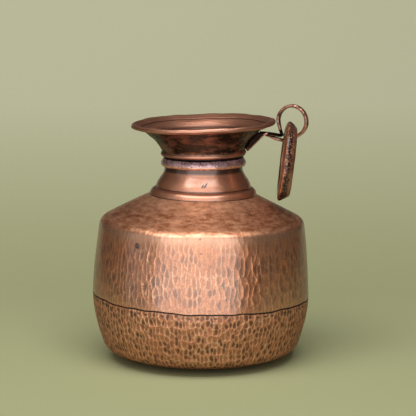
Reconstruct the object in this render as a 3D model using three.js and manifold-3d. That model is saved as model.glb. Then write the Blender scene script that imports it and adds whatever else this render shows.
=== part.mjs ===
// A hand-raised copper water pot. A hammered bowl and a hammered upper body lap at the belly; a necked
// collar stands on the shoulder, with a peened band round the joint below the mouth; the mouth flares out
// and is rolled over a wire. A forged ear riveted under the lip carries a loose ring.
// Millimetres, +Z up, origin on the ground at the centre of the base; the ear points along +X.
import * as THREE from "three";
import { mergeVertices } from "three/addons/utils/BufferGeometryUtils.js";
import Module from "manifold-3d";

const wasm = await Module();
wasm.setup();

// Sheet, laps and clearances
const SHEET = 1.5; // copper sheet of body and neck, after hammering
const LIP_SHEET = 1.1; // the mouth's edge is drawn thinner to be rolled
const SEAT_GAP = 0.3; // between two pieces that sit on each other
const BELLY_LAP = 9; // how far the bowl enters the upper body
const NECK_LAP = 3.4; // how far the shoulder's collar runs under the neck's foot

// Bowl, the lower half of the body
const BELLY_RADIUS = 115;
const SEAM_RISE = 69; // height of the seam
const FOOT_INSET = 66.4; // from the belly in to the flat that the pot stands on
const BOTTOM_SLOPE = 21; // degrees, of the bottom where it meets the corner
const CORNER_ROUND = 15.3; // radius of the lower corner
const WALL_SLOPE = 71.9; // degrees, of the wall where it leaves the corner
const WALL_TURN = 1.66; // how late the wall turns upright

// Upper body: the wall above the seam, and the shoulder
const WALL_INSET = 6.9; // from the belly in to the edge of the shoulder
const WALL_RISE = 79.4;
const WALL_CURVE = 1.5;
const EDGE_ROUND = 5.6; // how far below the edge the wall begins to turn
const SHOULDER_RISE = 25.8;
const SHOULDER_SWELL = 0.2; // how far the shoulder bulges above a straight cone
const COLLAR_SLOPE = 0.55; // rise per millimetre inwards

// Neck: a cone with a rounded foot
const THROAT_RADIUS = 41.2;
const CONE_FLARE = 8.9; // from the throat out to the cone's foot
const CONE_RISE = 19.8;
const FOOT_FLARE = 6.7; // from the cone out to the foot's edge
const FOOT_RISE = 8.6;
const FOOT_MARGIN = 0.8; // how far the shoulder shows outside the foot's edge

// Band: a peened ring round the joint of neck and mouth, widest near its lower edge
const BAND_STAND = 3.8; // out from the throat
const BAND_LIFT = 3; // its lower edge above the throat
const BAND_CREST_RISE = 2.8;
const BAND_TOP_RISE = 8.6;
const SPIGOT_RISE = 7.9; // how far the neck runs up inside the band

// Mouth: a bead at its foot, a flaring cone and a lip rolled over a wire
const BEAD_STAND = 3.9; // out from the throat
const BEAD_RISE = 4.8; // above the band's top
const WAIST_STAND = 2.6;
const WAIST_RISE = 3.3;
const FLARE_REACH = 13;
const FLARE_RISE = 16.3;
const FLARE_SWELL = 1.9; // the flare bulges inwards by this much
const LIP_REACH = 16.6; // from the flare's end to the wire
const LIP_RISE = 10.9;
const LIP_HOLLOW = 0.7; // how far the lip's under face lies above a straight line
const ROLL_RADIUS = 2.6;
const ROLL_START = 121; // degrees round the wire, where the lip meets the roll
const ROLL_WRAP = 272; // degrees that the lip turns round the wire

// Ear: a forged lug fitted under the mouth, drawn out to a flat bar that is bent up to an eye
const LUG_SLOPE = 44.2; // degrees, of its outer face
const LUG_LENGTH = 24; // along that face
const LUG_WIDTH = 14;
const LUG_NECK = 8.5; // its width where the bar begins
const TOE_ROUND = 5; // the lower end is rounded over this length
const TOE_REACH = 1.3; // outer corner of the lower end, out from the mouth's bead
const TOE_LIFT = 0.7; // and above it
const LUG_SEAT = 0.4; // between the lug and the mouth
const BAR_WIDTH = 5.8;
const BAR_THICK = 3.5;
const EYE_RADIUS = 16.3;
const EYE_REACH = 20.3; // from the wire in the lip out to the eye's centre
const EYE_LIFT = 0.4; // of the eye's centre above the wire
const EYE_TURN = 28; // degrees that the eye is twisted towards -Y on its outer side
const EYE_DROP = 20.7; // lowest point of the eye's bar below its centre
const EYE_DRAWN_IN = 4.6; // how far that point lies towards the pot
const LEG_DROP = 15.4; // where the bar's other end comes down, below the eye's centre
const LEG_DRAWN_IN = 11.9;
const STEM_RISE = 7; // from the eye's lowest point to the stem's root in the lug
const STEM_REACH = 29.5; // along the stem
const TAIL_THICK = 3.5;
const TAIL_LENGTH = 23.4; // of the bar's end, laid back along the stem

// Carry ring: forged from a bar with a low ridge outwards
const RING_OUTER_RADIUS = 42.7;
const RING_WIDTH = 13.3;
const RING_THICK = 13; // at the ridge
const RING_RIDGE = 2.6; // the ridge from the middle, towards the pot
const RING_INNER_BEVEL = 8.4; // fall from the ridge to the side next to the pot
const RING_OUTER_BEVEL = 6.9;
const RING_LEAN = 6.6; // degrees that the ring hangs in towards the pot
const RING_TURN = 1.4; // degrees that the ring is turned towards -Y on its outer side
const RING_DRAWN_IN = 1.8; // middle of its bore from the eye's centre, towards the pot
const RING_SEAT = 5.6; // its bore above the bar's face at the eye's lowest point

// Rivets through the lug and the mouth's wall, filed flush outside
const RIVET_RADIUS = 2;
const RIVET_HEAD_RADIUS = 3.5;
const RIVET_HEAD_HEIGHT = 1.4;
const RIVET_HEAD_STAND = 0.5; // of the inner head off the sheet, which curves up to its edge
const RIVET_PLACES = { rivet_lower: 0.2, rivet_upper: 0.74 }; // shares of the way from waist to flare

// The pot was raised by eye. Its belly stands a little away from the ear and its neck towards it, the
// belly seam and the shoulder dip towards it, and the mouth tips up. One map bends all these pieces alike.
const BELLY_SHIFT = -0.6; // along X from the middle of the base
const SHOULDER_SHIFT = 0.8;
const NECK_SHIFT = 2.4;
const CORNER_DIP = -0.006; // rise per millimetre of X
const SEAM_DIP = -0.028;
const SHOULDER_DIP = -0.014;
const MOUTH_TIP = 0.028;

// What follows from the sizes above
const FOOT_RADIUS = BELLY_RADIUS - FOOT_INSET;
const EDGE_RADIUS = BELLY_RADIUS - WALL_INSET;
const EDGE_HEIGHT = SEAM_RISE + WALL_RISE;
const CONE_RADIUS = THROAT_RADIUS + CONE_FLARE;
const SKIRT_RADIUS = CONE_RADIUS + FOOT_FLARE;
const COLLAR_RADIUS = SKIRT_RADIUS + FOOT_MARGIN;
const COLLAR_HEIGHT = EDGE_HEIGHT + SHOULDER_RISE;
const CONE_HEIGHT = COLLAR_HEIGHT + FOOT_RISE;
const THROAT_HEIGHT = CONE_HEIGHT + CONE_RISE;
const BAND_HEIGHT = THROAT_HEIGHT + BAND_LIFT;
const JOINT_HEIGHT = THROAT_HEIGHT + SPIGOT_RISE;
const BAND_TOP_HEIGHT = BAND_HEIGHT + BAND_TOP_RISE;
const BEAD_HEIGHT = BAND_TOP_HEIGHT + BEAD_RISE;
const WAIST_RADIUS = THROAT_RADIUS + WAIST_STAND;
const WAIST_HEIGHT = BEAD_HEIGHT + WAIST_RISE;
const ROLL_CENTRE_RADIUS = WAIST_RADIUS + FLARE_REACH + LIP_REACH;
const ROLL_CENTRE_HEIGHT = WAIST_HEIGHT + FLARE_RISE + LIP_RISE;
const WIRE_RADIUS = ROLL_RADIUS - LIP_SHEET - SEAT_GAP;

const TURNS = 44; // facets round the pot

const copper = (name, colour, roughness) =>
  new THREE.MeshStandardMaterial({ name, color: colour, roughness, metalness: 1 });
const hammered = copper("hammered_copper", 0xb4714a, 0.36);
const burnished = copper("burnished_copper", 0xb57049, 0.3);
const darkened = copper("darkened_copper", 0x5f4038, 0.5);
const forged = copper("forged_copper", 0x9c6040, 0.42);

const point = (r, z) => new THREE.Vector2(r, z);
const degrees = THREE.MathUtils.degToRad;
const span = (steps) => Array.from({ length: steps + 1 }, (_, i) => i / steps);
const ease = (value, low, high) => THREE.MathUtils.smoothstep(value, low, high);

// Where a point of the pot stands once the pot has its small leans.
function shiftAt(z) {
  const belly = BELLY_SHIFT * ease(z, 0, SEAM_RISE * 0.45);
  const shoulder = (SHOULDER_SHIFT - BELLY_SHIFT) * ease(z, SEAM_RISE, EDGE_HEIGHT);
  const neck = (NECK_SHIFT - SHOULDER_SHIFT) * ease(z, COLLAR_HEIGHT - FOOT_RISE, CONE_HEIGHT);
  return belly + shoulder + neck;
}
function riseRate(r, z) {
  const corner = CORNER_DIP * (z < SEAM_RISE ? ease(r, FOOT_RADIUS, BELLY_RADIUS * 0.8) : 1);
  const bowl = (SEAM_DIP - CORNER_DIP) * ease(z, SEAM_RISE * 0.4, SEAM_RISE);
  const shoulder = (SHOULDER_DIP - SEAM_DIP) * ease(z, SEAM_RISE, EDGE_HEIGHT);
  const mouth = (MOUTH_TIP - SHOULDER_DIP) * ease(z, COLLAR_HEIGHT, ROLL_CENTRE_HEIGHT);
  return corner + bowl + shoulder + mouth;
}
const settled = (p) =>
  new THREE.Vector3(p.x + shiftAt(p.z), p.y, p.z + p.x * riseRate(Math.hypot(p.x, p.y), p.z));

function settle(geometry) {
  const place = geometry.getAttribute("position");
  for (let i = 0; i < place.count; i++) {
    const p = settled(new THREE.Vector3().fromBufferAttribute(place, i));
    place.setXYZ(i, p.x, p.y, p.z);
  }
  return geometry;
}

// Points of an arc round (r, z), between two angles in degrees.
const arc = (r, z, radius, from, to, steps) =>
  span(steps).map((t) => {
    const a = degrees(from + (to - from) * t);
    return point(r + radius * Math.cos(a), z + radius * Math.sin(a));
  });

// The inner face of a sheet, from its outer face given upwards: each point moves in by the wall.
const inside = (outer, wall) =>
  outer.map((p, i) => {
    const a = outer[Math.max(i - 1, 0)];
    const b = outer[Math.min(i + 1, outer.length - 1)];
    const along = point(b.x - a.x, b.y - a.y).normalize();
    return p.x === 0 ? point(0, p.y + wall) : point(p.x - along.y * wall, p.y + along.x * wall);
  });

// A solid of revolution from a closed outline, or from one that starts and ends on the axis.
function revolved(outline) {
  const profile = outline.slice();
  if (profile[0].x > 0) profile.push(profile[0].clone());
  const lathe = new THREE.LatheGeometry(profile, TURNS);
  lathe.rotateX(Math.PI / 2);
  return settle(lathe);
}
const shell = (outer, wall) => revolved([...outer, ...inside(outer, wall).reverse()]);

function piece(name, geometry, material) {
  const mesh = new THREE.Mesh(geometry, material);
  mesh.name = name;
  return mesh;
}

// Radius of the upper body's wall, which draws in slowly above the seam.
const wallRadius = (z) => BELLY_RADIUS - WALL_INSET * ((z - SEAM_RISE) / WALL_RISE) ** WALL_CURVE;

// A path of length 1 whose direction turns from one angle to another, in degrees; late above 1 turns it late.
function turning(from, to, late, steps) {
  const parts = steps * 12;
  const path = [point(0, 0)];
  for (let i = 0; i < parts; i++) {
    const a = degrees(from + (to - from) * ((i + 0.5) / parts) ** late);
    path.push(path[i].clone().add(point(Math.cos(a) / parts, Math.sin(a) / parts)));
  }
  return path.filter((_, i) => i % 12 === 0);
}

// Bowl: a flat foot, a bottom that lifts towards a round corner, and a wall that turns upright by the
// seam. Bottom and wall are as long as it takes to reach the seam. The bowl's edge is set in by one
// sheet, to enter the upper body.
function bowlOutline() {
  const bottom = turning(0, BOTTOM_SLOPE, 1, 4);
  const wall = turning(WALL_SLOPE, 90, WALL_TURN, 8);
  const corner = arc(0, 0, CORNER_ROUND, BOTTOM_SLOPE - 90, WALL_SLOPE - 90, 4);
  const [b, w, c] = [bottom[4], wall[8], corner[4].clone().sub(corner[0])];
  const reach = BELLY_RADIUS - FOOT_RADIUS - c.x;
  const rise = SEAM_RISE - c.y;
  const area = b.x * w.y - b.y * w.x;
  const bottomLength = (reach * w.y - rise * w.x) / area;
  const wallLength = (b.x * rise - b.y * reach) / area;
  const foot = point(FOOT_RADIUS, 0);
  const cornerStart = b.clone().multiplyScalar(bottomLength).add(foot);
  const cornerEnd = cornerStart.clone().add(c);
  const lapTop = SEAM_RISE + BELLY_LAP;
  return [
    point(0, 0),
    ...bottom.map((p) => p.multiplyScalar(bottomLength).add(foot)),
    ...corner.slice(1).map((p) => p.sub(corner[0]).add(cornerStart)),
    ...wall.slice(1, 8).map((p) => p.multiplyScalar(wallLength).add(cornerEnd)),
    point(BELLY_RADIUS - SEAT_GAP, SEAM_RISE - SEAT_GAP * 5),
    point(BELLY_RADIUS - SHEET - SEAT_GAP, SEAM_RISE - SEAT_GAP),
    point(wallRadius(lapTop) - SHEET - SEAT_GAP, lapTop),
  ];
}

// Height of the shoulder's top face where the neck's foot sits on it.
const collarHeight = (r) => COLLAR_HEIGHT + (COLLAR_RADIUS - r) * COLLAR_SLOPE;

// Upper body: the wall draws in slowly from the seam, turns over a rounded edge, and runs up the
// shoulder to a collar under the neck's foot.
function upperOutline() {
  const wallTop = EDGE_HEIGHT - EDGE_ROUND;
  const wall = span(5).map((t) => {
    const z = SEAM_RISE + (wallTop - SEAM_RISE) * t;
    return point(wallRadius(z), z);
  });
  const shoulderAt = (t) =>
    point(
      EDGE_RADIUS + (COLLAR_RADIUS - EDGE_RADIUS) * t,
      EDGE_HEIGHT + SHOULDER_RISE * t + SHOULDER_SWELL * Math.sin(Math.PI * t),
    );
  const from = wall[wall.length - 1];
  const to = shoulderAt(0.14);
  const corner = point(EDGE_RADIUS, EDGE_HEIGHT);
  const turn = new THREE.QuadraticBezierCurve(from, corner, to).getPoints(4).slice(1);
  const shoulder = [0.32, 0.5, 0.68, 0.86, 1].map(shoulderAt);
  const collar = COLLAR_RADIUS - NECK_LAP;
  return [...wall, ...turn, ...shoulder, point(collar, collarHeight(collar))];
}

// Neck: its foot flares over the shoulder's collar; the cone closes in to the throat, and a straight
// spigot runs up inside the band.
function neckOutline() {
  const foot = new THREE.QuadraticBezierCurve(
    point(SKIRT_RADIUS, collarHeight(SKIRT_RADIUS) + SEAT_GAP),
    point(SKIRT_RADIUS - FOOT_FLARE * 0.14, CONE_HEIGHT - FOOT_RISE * 0.16),
    point(CONE_RADIUS, CONE_HEIGHT),
  ).getPoints(3);
  const cone = [0.14, 0.3, 0.45, 0.6, 0.75, 1].map((t) =>
    point(CONE_RADIUS - CONE_FLARE * ease(t, 0, 1), CONE_HEIGHT + CONE_RISE * t),
  );
  const outer = [...foot, ...cone, point(THROAT_RADIUS, JOINT_HEIGHT)];
  const inner = inside(outer, SHEET);
  const heel = SKIRT_RADIUS - SHEET;
  inner[0] = point(heel, collarHeight(heel) + SEAT_GAP);
  return [...outer, ...inner.reverse()];
}

// Band: a ring with a flat bore and a crest low on its outer side.
function bandOutline() {
  const bore = THROAT_RADIUS + SEAT_GAP;
  const crest = THROAT_RADIUS + BAND_STAND;
  return [
    point(bore, BAND_HEIGHT),
    point(crest - BAND_STAND * 0.28, BAND_HEIGHT),
    point(crest - BAND_STAND * 0.04, BAND_HEIGHT + BAND_CREST_RISE * 0.55),
    point(crest, BAND_HEIGHT + BAND_CREST_RISE),
    point(crest - BAND_STAND * 0.16, BAND_HEIGHT + BAND_CREST_RISE * 1.8),
    point(bore + BAND_STAND * 0.18, BAND_TOP_HEIGHT),
    point(bore, BAND_TOP_HEIGHT),
  ];
}

// Under face of the mouth, from its foot to where the roll begins. t runs from waist to flare.
const flareAt = (t) =>
  point(
    WAIST_RADIUS + FLARE_REACH * t,
    WAIST_HEIGHT + FLARE_RISE * t + FLARE_SWELL * Math.sin(Math.PI * t),
  );
function mouthUnder(rollStart) {
  const foot = [
    point(THROAT_RADIUS, JOINT_HEIGHT + SEAT_GAP),
    point(THROAT_RADIUS, BAND_TOP_HEIGHT + SEAT_GAP),
    point(THROAT_RADIUS + BEAD_STAND * 0.2, BAND_TOP_HEIGHT + BEAD_RISE * 0.2),
    point(THROAT_RADIUS + BEAD_STAND * 0.72, BAND_TOP_HEIGHT + BEAD_RISE * 0.5),
    point(THROAT_RADIUS + BEAD_STAND, BEAD_HEIGHT),
  ];
  const flare = [0, 0.25, 0.5, 0.75, 1].map(flareAt);
  return [...foot, ...flare, flare[4].clone().lerp(rollStart, 0.5).add(point(0, LIP_HOLLOW))];
}
const rollArc = (radius) =>
  arc(ROLL_CENTRE_RADIUS, ROLL_CENTRE_HEIGHT, radius, ROLL_START, ROLL_START - ROLL_WRAP, 9);
function mouthOutline() {
  const rollIn = rollArc(ROLL_RADIUS - LIP_SHEET);
  const under = mouthUnder(rollIn[0]);
  const upper = inside([...under, rollIn[0]], SHEET).slice(0, -1);
  upper[upper.length - 1].lerp(under[under.length - 1], 1 - LIP_SHEET / SHEET);
  return [...under, ...rollIn, ...rollArc(ROLL_RADIUS).reverse(), ...upper.reverse()];
}

// The wire in the rolled lip, an eight-sided section.
const rimWireOutline = () =>
  arc(ROLL_CENTRE_RADIUS, ROLL_CENTRE_HEIGHT, WIRE_RADIUS, 0, 360, 8).slice(0, 8);

// A closed skin over stations of points, with flat ends, or joined end to start.
function skin(stations, joined) {
  const sides = stations[0].length;
  const faces = [];
  const gaps = joined ? stations.length : stations.length - 1;
  for (let i = 0; i < gaps; i++) {
    const a = i * sides;
    const b = ((i + 1) % stations.length) * sides;
    for (let j = 0; j < sides; j++) {
      const k = (j + 1) % sides;
      faces.push(a + j, a + k, b + k, a + j, b + k, b + j);
    }
  }
  const end = (stations.length - 1) * sides;
  for (let j = 1; !joined && j < sides - 1; j++) faces.push(0, j + 1, j, end, end + j, end + j + 1);
  const geometry = new THREE.BufferGeometry();
  const places = stations.flat().flatMap((p) => [p.x, p.y, p.z]);
  geometry.setAttribute("position", new THREE.Float32BufferAttribute(places, 3));
  geometry.setIndex(faces);
  return geometry;
}

// A forged bar along a path, its section a rectangle with rounded corners. size(t) gives its width and
// thickness, turn(t) the degrees that its wide side is turned about Z.
const rounded = (value) => Math.sign(value) * Math.abs(value) ** 0.6;
function bar(path, steps, sides, size, turn) {
  return skin(
    span(steps).map((t) => {
      const centre = path.getPointAt(t);
      const along = path.getTangentAt(t);
      const twist = degrees(turn(t));
      const side = new THREE.Vector3(Math.sin(twist), Math.cos(twist), 0);
      side.addScaledVector(along, -along.dot(side)).normalize();
      const up = new THREE.Vector3().crossVectors(along, side);
      const [width, thick] = size(t);
      return span(sides)
        .slice(1)
        .map((s) => {
          const a = 2 * Math.PI * (s - 0.5 / sides);
          return centre
            .clone()
            .addScaledVector(side, (width / 2) * rounded(Math.cos(a)))
            .addScaledVector(up, (thick / 2) * rounded(Math.sin(a)));
        });
    }),
    false,
  );
}

function asSolid(geometry) {
  const bare = geometry.clone();
  bare.deleteAttribute("normal");
  bare.deleteAttribute("uv");
  return solidOf(mergeVertices(bare, 1e-4));
}
function solidOf(bare) {
  const mesh = new wasm.Mesh({
    numProp: 3,
    vertProperties: new Float32Array(bare.getAttribute("position").array),
    triVerts: new Uint32Array(bare.getIndex().array),
  });
  return new wasm.Manifold(mesh);
}
function asGeometry(solid) {
  const { vertProperties, triVerts } = solid.getMesh();
  const geometry = new THREE.BufferGeometry();
  geometry.setAttribute("position", new THREE.BufferAttribute(new Float32Array(vertProperties), 3));
  geometry.setIndex(new THREE.BufferAttribute(new Uint32Array(triVerts), 1));
  return geometry;
}

// The mouth's under face in the ear's plane: a place on it and the way out of the sheet.
function onMouth(t, out) {
  const p = flareAt(t);
  const q = flareAt(t + 0.01);
  const along = point(q.x - p.x, q.y - p.y).normalize();
  const at = p.clone().add(point(along.y, -along.x).multiplyScalar(out));
  return settled(new THREE.Vector3(at.x, 0, at.y));
}

// A small turned solid on the mouth at t, its axis square to the sheet; the outline runs out of the sheet.
const outOf = (t) => onMouth(t, 1).sub(onMouth(t, 0)).normalize();
function turnedAt(t, outline) {
  const geometry = new THREE.LatheGeometry(outline, 14);
  geometry.applyQuaternion(new THREE.Quaternion().setFromUnitVectors(new THREE.Vector3(0, 1, 0), outOf(t)));
  return geometry.translate(...onMouth(t, 0));
}

// The lug's outer face: a line up and outwards from the toe, just above the mouth's bead.
const beadOutside = settled(new THREE.Vector3(THROAT_RADIUS + BEAD_STAND, 0, BEAD_HEIGHT));
const toe = beadOutside.add(new THREE.Vector3(TOE_REACH, 0, TOE_LIFT));
const lugAlong = new THREE.Vector3(Math.cos(degrees(LUG_SLOPE)), 0, Math.sin(degrees(LUG_SLOPE)));
const lugIn = new THREE.Vector3(-lugAlong.z, 0, lugAlong.x);
const faceOver = (t) => toe.clone().sub(onMouth(t, 0)).dot(lugIn) / outOf(t).dot(lugIn);

// A rivet's body through lug and mouth, with a sunk head at the lug's face, as far out as asked.
function rivetBody(t, spare, from) {
  const face = faceOver(t);
  const sink = RIVET_HEAD_RADIUS - RIVET_RADIUS;
  return [
    point(0, from),
    point(RIVET_RADIUS + spare, from),
    point(RIVET_RADIUS + spare, face - sink - spare * 0.4),
    point(RIVET_HEAD_RADIUS + sink + spare * 1.4, face + sink),
    point(0, face + sink),
  ];
}
const withRivetHoles = (solid) =>
  Object.values(RIVET_PLACES).reduce(
    (rest, t) => rest.subtract(asSolid(turnedAt(t, rivetBody(t, SEAT_GAP, -4)))),
    solid,
  );

// A rivet: sunk and filed flush with the lug's face, and peened to a low dome inside the mouth.
function rivet(name, t) {
  const inner = -SHEET - RIVET_HEAD_STAND;
  const body = asSolid(turnedAt(t, rivetBody(t, 0, inner))).trimByPlane(lugIn.toArray(), toe.dot(lugIn));
  const dome = [0, 0.45, 0.8, 1].map((r) =>
    point(RIVET_HEAD_RADIUS * r, inner - RIVET_HEAD_HEIGHT * (1 - r ** 2 * 0.75)),
  );
  const head = asSolid(turnedAt(t, [...dome, point(RIVET_HEAD_RADIUS, inner), point(0, inner)]));
  return piece(name, asGeometry(body.add(head)), forged);
}

// Lug: a wedge in side view and a tongue seen square to its outer face, hollowed to fit the mouth.
const extruded = (outline, depth, x, y, z) => {
  const section = new wasm.CrossSection([outline]);
  const place = new THREE.Matrix4().makeBasis(x, y, z).setPosition(toe);
  return section.extrude(depth, 0, 0, [1, 1], true).transform(place.elements);
};
function lug() {
  const width = (u) => {
    const neck = THREE.MathUtils.lerp(LUG_WIDTH, LUG_NECK, ease(u, LUG_LENGTH * 0.45, LUG_LENGTH));
    return neck * Math.sqrt(1 - Math.max(1 - u / TOE_ROUND, 0) ** 2);
  };
  const deep = SHEET * 6;
  const wedge = [
    [0, 0],
    [LUG_LENGTH, 0],
    [LUG_LENGTH - deep * 0.3, deep],
    [0, deep],
  ];
  const stations = span(12).map((t) => LUG_LENGTH * 1.02 * t ** 1.6);
  const tongue = [
    ...stations.slice(1).map((u) => [u, -width(u) / 2]),
    ...stations.reverse().map((u) => [u, width(u) / 2]),
  ];
  const sideways = new THREE.Vector3(0, 1, 0);
  const under = mouthUnder(rollArc(ROLL_RADIUS - LIP_SHEET)[0]);
  const seat = inside(under, -LUG_SEAT);
  const inMouth = revolved([point(0, seat[0].y), ...seat, point(0, seat[seat.length - 1].y)]);
  return extruded(wedge, LUG_WIDTH * 1.2, lugAlong, lugIn, sideways.clone().negate())
    .intersect(extruded(tongue, deep * 3, lugAlong, sideways, lugIn))
    .subtract(asSolid(inMouth));
}

const wireOutside = settled(new THREE.Vector3(ROLL_CENTRE_RADIUS, 0, ROLL_CENTRE_HEIGHT));
const eyeCentre = wireOutside.clone().add(new THREE.Vector3(EYE_REACH, 0, EYE_LIFT));

// Ear: the stem reaches out of the lug under the lip, and the eye rises from its end. The other end of
// the bar comes down beside the ring and lies back along the stem.
function ear() {
  const inEye = (s, z) => {
    const twist = s > 0 ? ease(z, -EYE_DROP, 0) : 1; // the eye leaves the stem's plane as it rises
    const out = new THREE.Vector3(Math.cos(degrees(EYE_TURN)), -Math.sin(degrees(EYE_TURN)) * twist, 0);
    return eyeCentre.clone().setZ(eyeCentre.z + z).addScaledVector(out, s);
  };
  const foot = inEye(-EYE_DRAWN_IN, -EYE_DROP).setY(0);
  const onStem = (share, rise) =>
    new THREE.Vector3(foot.x - STEM_REACH * share, 0, foot.z + STEM_RISE * rise);
  const stem = [onStem(1, 1), onStem(0.86, 0.96), onStem(0.65, 0.7), onStem(0.43, 0.32), onStem(0.2, 0.09)];
  const eye = span(10).map((t) => {
    const a = degrees(-48 + 226 * t);
    return inEye(EYE_RADIUS * Math.cos(a), EYE_RADIUS * Math.sin(a));
  });
  const leg = inEye(-LEG_DRAWN_IN, -LEG_DROP);
  const legMiddle = inEye(-EYE_RADIUS * 0.89, -LEG_DROP * 0.5);
  const path = new THREE.CatmullRomCurve3([...stem, foot, ...eye, legMiddle, leg], false, "centripetal");
  const main = bar(
    path,
    56,
    12,
    (t) => {
      const drawn = THREE.MathUtils.lerp(1, 0.72, ease(t, 0.84, 1));
      const root = THREE.MathUtils.lerp(0.85, 1, ease(t, 0.04, 0.16));
      return [BAR_WIDTH * drawn, BAR_THICK * drawn * root];
    },
    (t) => EYE_TURN * ease(t, 0.24, 0.42),
  );
  const tailPath = new THREE.CatmullRomCurve3([
    leg.clone().add(new THREE.Vector3(0.5, 0, 1)),
    leg.clone().add(new THREE.Vector3(-1.6, -0.8, 0)),
    leg.clone().add(new THREE.Vector3(-TAIL_LENGTH * 0.35, -leg.y, 1.5)),
    leg.clone().add(new THREE.Vector3(-TAIL_LENGTH * 0.65, -leg.y - 1, 2.6)),
    leg.clone().add(new THREE.Vector3(-TAIL_LENGTH, -leg.y - 1.2, 3.3)),
  ]);
  const tail = bar(tailPath, 12, 10, () => [BAR_WIDTH * 0.8, TAIL_THICK], () => 0);
  const forging = asSolid(main).add(asSolid(tail)).add(lug());
  return piece("ear", asGeometry(withRivetHoles(forging)), forged);
}

// Carry ring: its section is given across the ring and out from the bore.
function carryRing() {
  const half = RING_WIDTH / 2;
  const innerSide = RING_THICK - RING_INNER_BEVEL;
  const outerSide = RING_THICK - RING_OUTER_BEVEL;
  const section = [
    [-half, RING_THICK * 0.12],
    [-half, innerSide],
    [-half * 0.55 - RING_RIDGE * 0.45, innerSide + RING_INNER_BEVEL * 0.68],
    [-RING_RIDGE, RING_THICK],
    [half * 0.45 - RING_RIDGE * 0.55, outerSide + RING_OUTER_BEVEL * 0.74],
    [half, outerSide],
    [half, RING_THICK * 0.12],
    [half * 0.8, 0],
    [-half * 0.8, 0],
  ];
  const bore = RING_OUTER_RADIUS - RING_THICK;
  const pose = new THREE.Euler(0, degrees(RING_LEAN), -degrees(RING_TURN), "ZYX");
  const across = new THREE.Vector3(1, 0, 0).applyEuler(pose);
  const down = new THREE.Vector3(0, 0, -1).applyEuler(pose);
  const fore = new THREE.Vector3(0, 1, 0).applyEuler(pose);
  const rise = BAR_THICK / 2 + RING_SEAT - EYE_DROP;
  const centre = new THREE.Vector3(-RING_DRAWN_IN, 0, rise).add(eyeCentre).addScaledVector(down, bore);
  const stations = span(44)
    .slice(1)
    .map((t) => {
      const a = 2 * Math.PI * t;
      const out = down.clone().multiplyScalar(-Math.cos(a)).addScaledVector(fore, Math.sin(a));
      return section.map(([u, v]) => centre.clone().addScaledVector(across, u).addScaledVector(out, bore + v));
    });
  return piece("carry_ring", skin(stations, true), forged);
}

const pot = new THREE.Group();
pot.name = "water_pot";
pot.add(
  piece("lower_bowl", shell(bowlOutline(), SHEET), hammered),
  piece("upper_body", shell(upperOutline(), SHEET), hammered),
  piece("neck", revolved(neckOutline()), burnished),
  piece("neck_band", revolved(bandOutline()), darkened),
  piece("mouth", asGeometry(withRivetHoles(asSolid(revolved(mouthOutline())))), burnished),
  piece("rim_wire", revolved(rimWireOutline()), burnished),
  ear(),
  ...Object.entries(RIVET_PLACES).map(([name, t]) => rivet(name, t)),
  carryRing(),
);
export default pot;
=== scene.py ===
import bmesh
import bpy
import numpy as np
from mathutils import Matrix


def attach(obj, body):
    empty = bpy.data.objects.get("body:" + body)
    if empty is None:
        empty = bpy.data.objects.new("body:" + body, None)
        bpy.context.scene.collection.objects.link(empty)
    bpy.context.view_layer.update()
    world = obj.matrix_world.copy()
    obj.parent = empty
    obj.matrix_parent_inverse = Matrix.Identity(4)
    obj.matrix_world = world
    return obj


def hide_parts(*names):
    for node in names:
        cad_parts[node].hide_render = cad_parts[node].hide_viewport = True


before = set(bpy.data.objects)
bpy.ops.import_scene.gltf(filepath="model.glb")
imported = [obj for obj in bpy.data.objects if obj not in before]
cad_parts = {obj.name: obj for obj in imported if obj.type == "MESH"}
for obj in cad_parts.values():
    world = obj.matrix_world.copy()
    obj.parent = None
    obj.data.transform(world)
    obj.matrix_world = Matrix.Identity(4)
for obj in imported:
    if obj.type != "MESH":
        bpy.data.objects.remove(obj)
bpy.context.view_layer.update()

# Camera. It stands 1.9 m in front of the pot and looks down on it by 9 degrees, so that the near and the
# far side of the mouth both show. A long lens keeps the pot's sides nearly straight.
camera = bpy.data.objects.new("camera", bpy.data.cameras.new("camera"))
camera.data.sensor_width = 36
camera.data.lens = 154.47
camera.location = (0.0072, -1.870, 0.463)
camera.rotation_euler = (np.radians(90 - 9.22), 0, 0)
bpy.context.scene.collection.objects.link(camera)
bpy.context.scene.camera = camera


# Sweep. A sheet of khaki background paper lies flat under the pot and bends up behind it. It is plain and
# matt; where it stands up it is painted paler, painted light for the brighter lighting on that part.
def linear(colour):
    """The linear RGBA of an sRGB hex colour."""
    s = np.array([int(colour[i : i + 2], 16) for i in (1, 3, 5)]) / 255
    return (*np.where(s <= 0.04045, s / 12.92, ((s + 0.055) / 1.055) ** 2.4), 1.0)


def add(material, kind, *inputs, result=0, **settings):
    """Adds a node to a material's tree and returns one of its outputs. Inputs are given in the node's
    order, or by identifier among the settings, as numbers, colours or other nodes' outputs."""
    tree = material.node_tree
    node = tree.nodes.new("ShaderNode" + kind)
    for field, value in settings.items():
        if field in node.bl_rna.properties:
            setattr(node, field, value)
    sockets = list(zip(node.inputs, inputs))
    for name, value in settings.items():
        if name not in node.bl_rna.properties:
            sockets.append((next(s for s in node.inputs if s.identifier == name), value))
    for socket, value in sockets:
        if isinstance(value, bpy.types.NodeSocket):
            tree.links.new(value, socket)
        else:
            socket.default_value = value
    return node.outputs[result]


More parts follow.
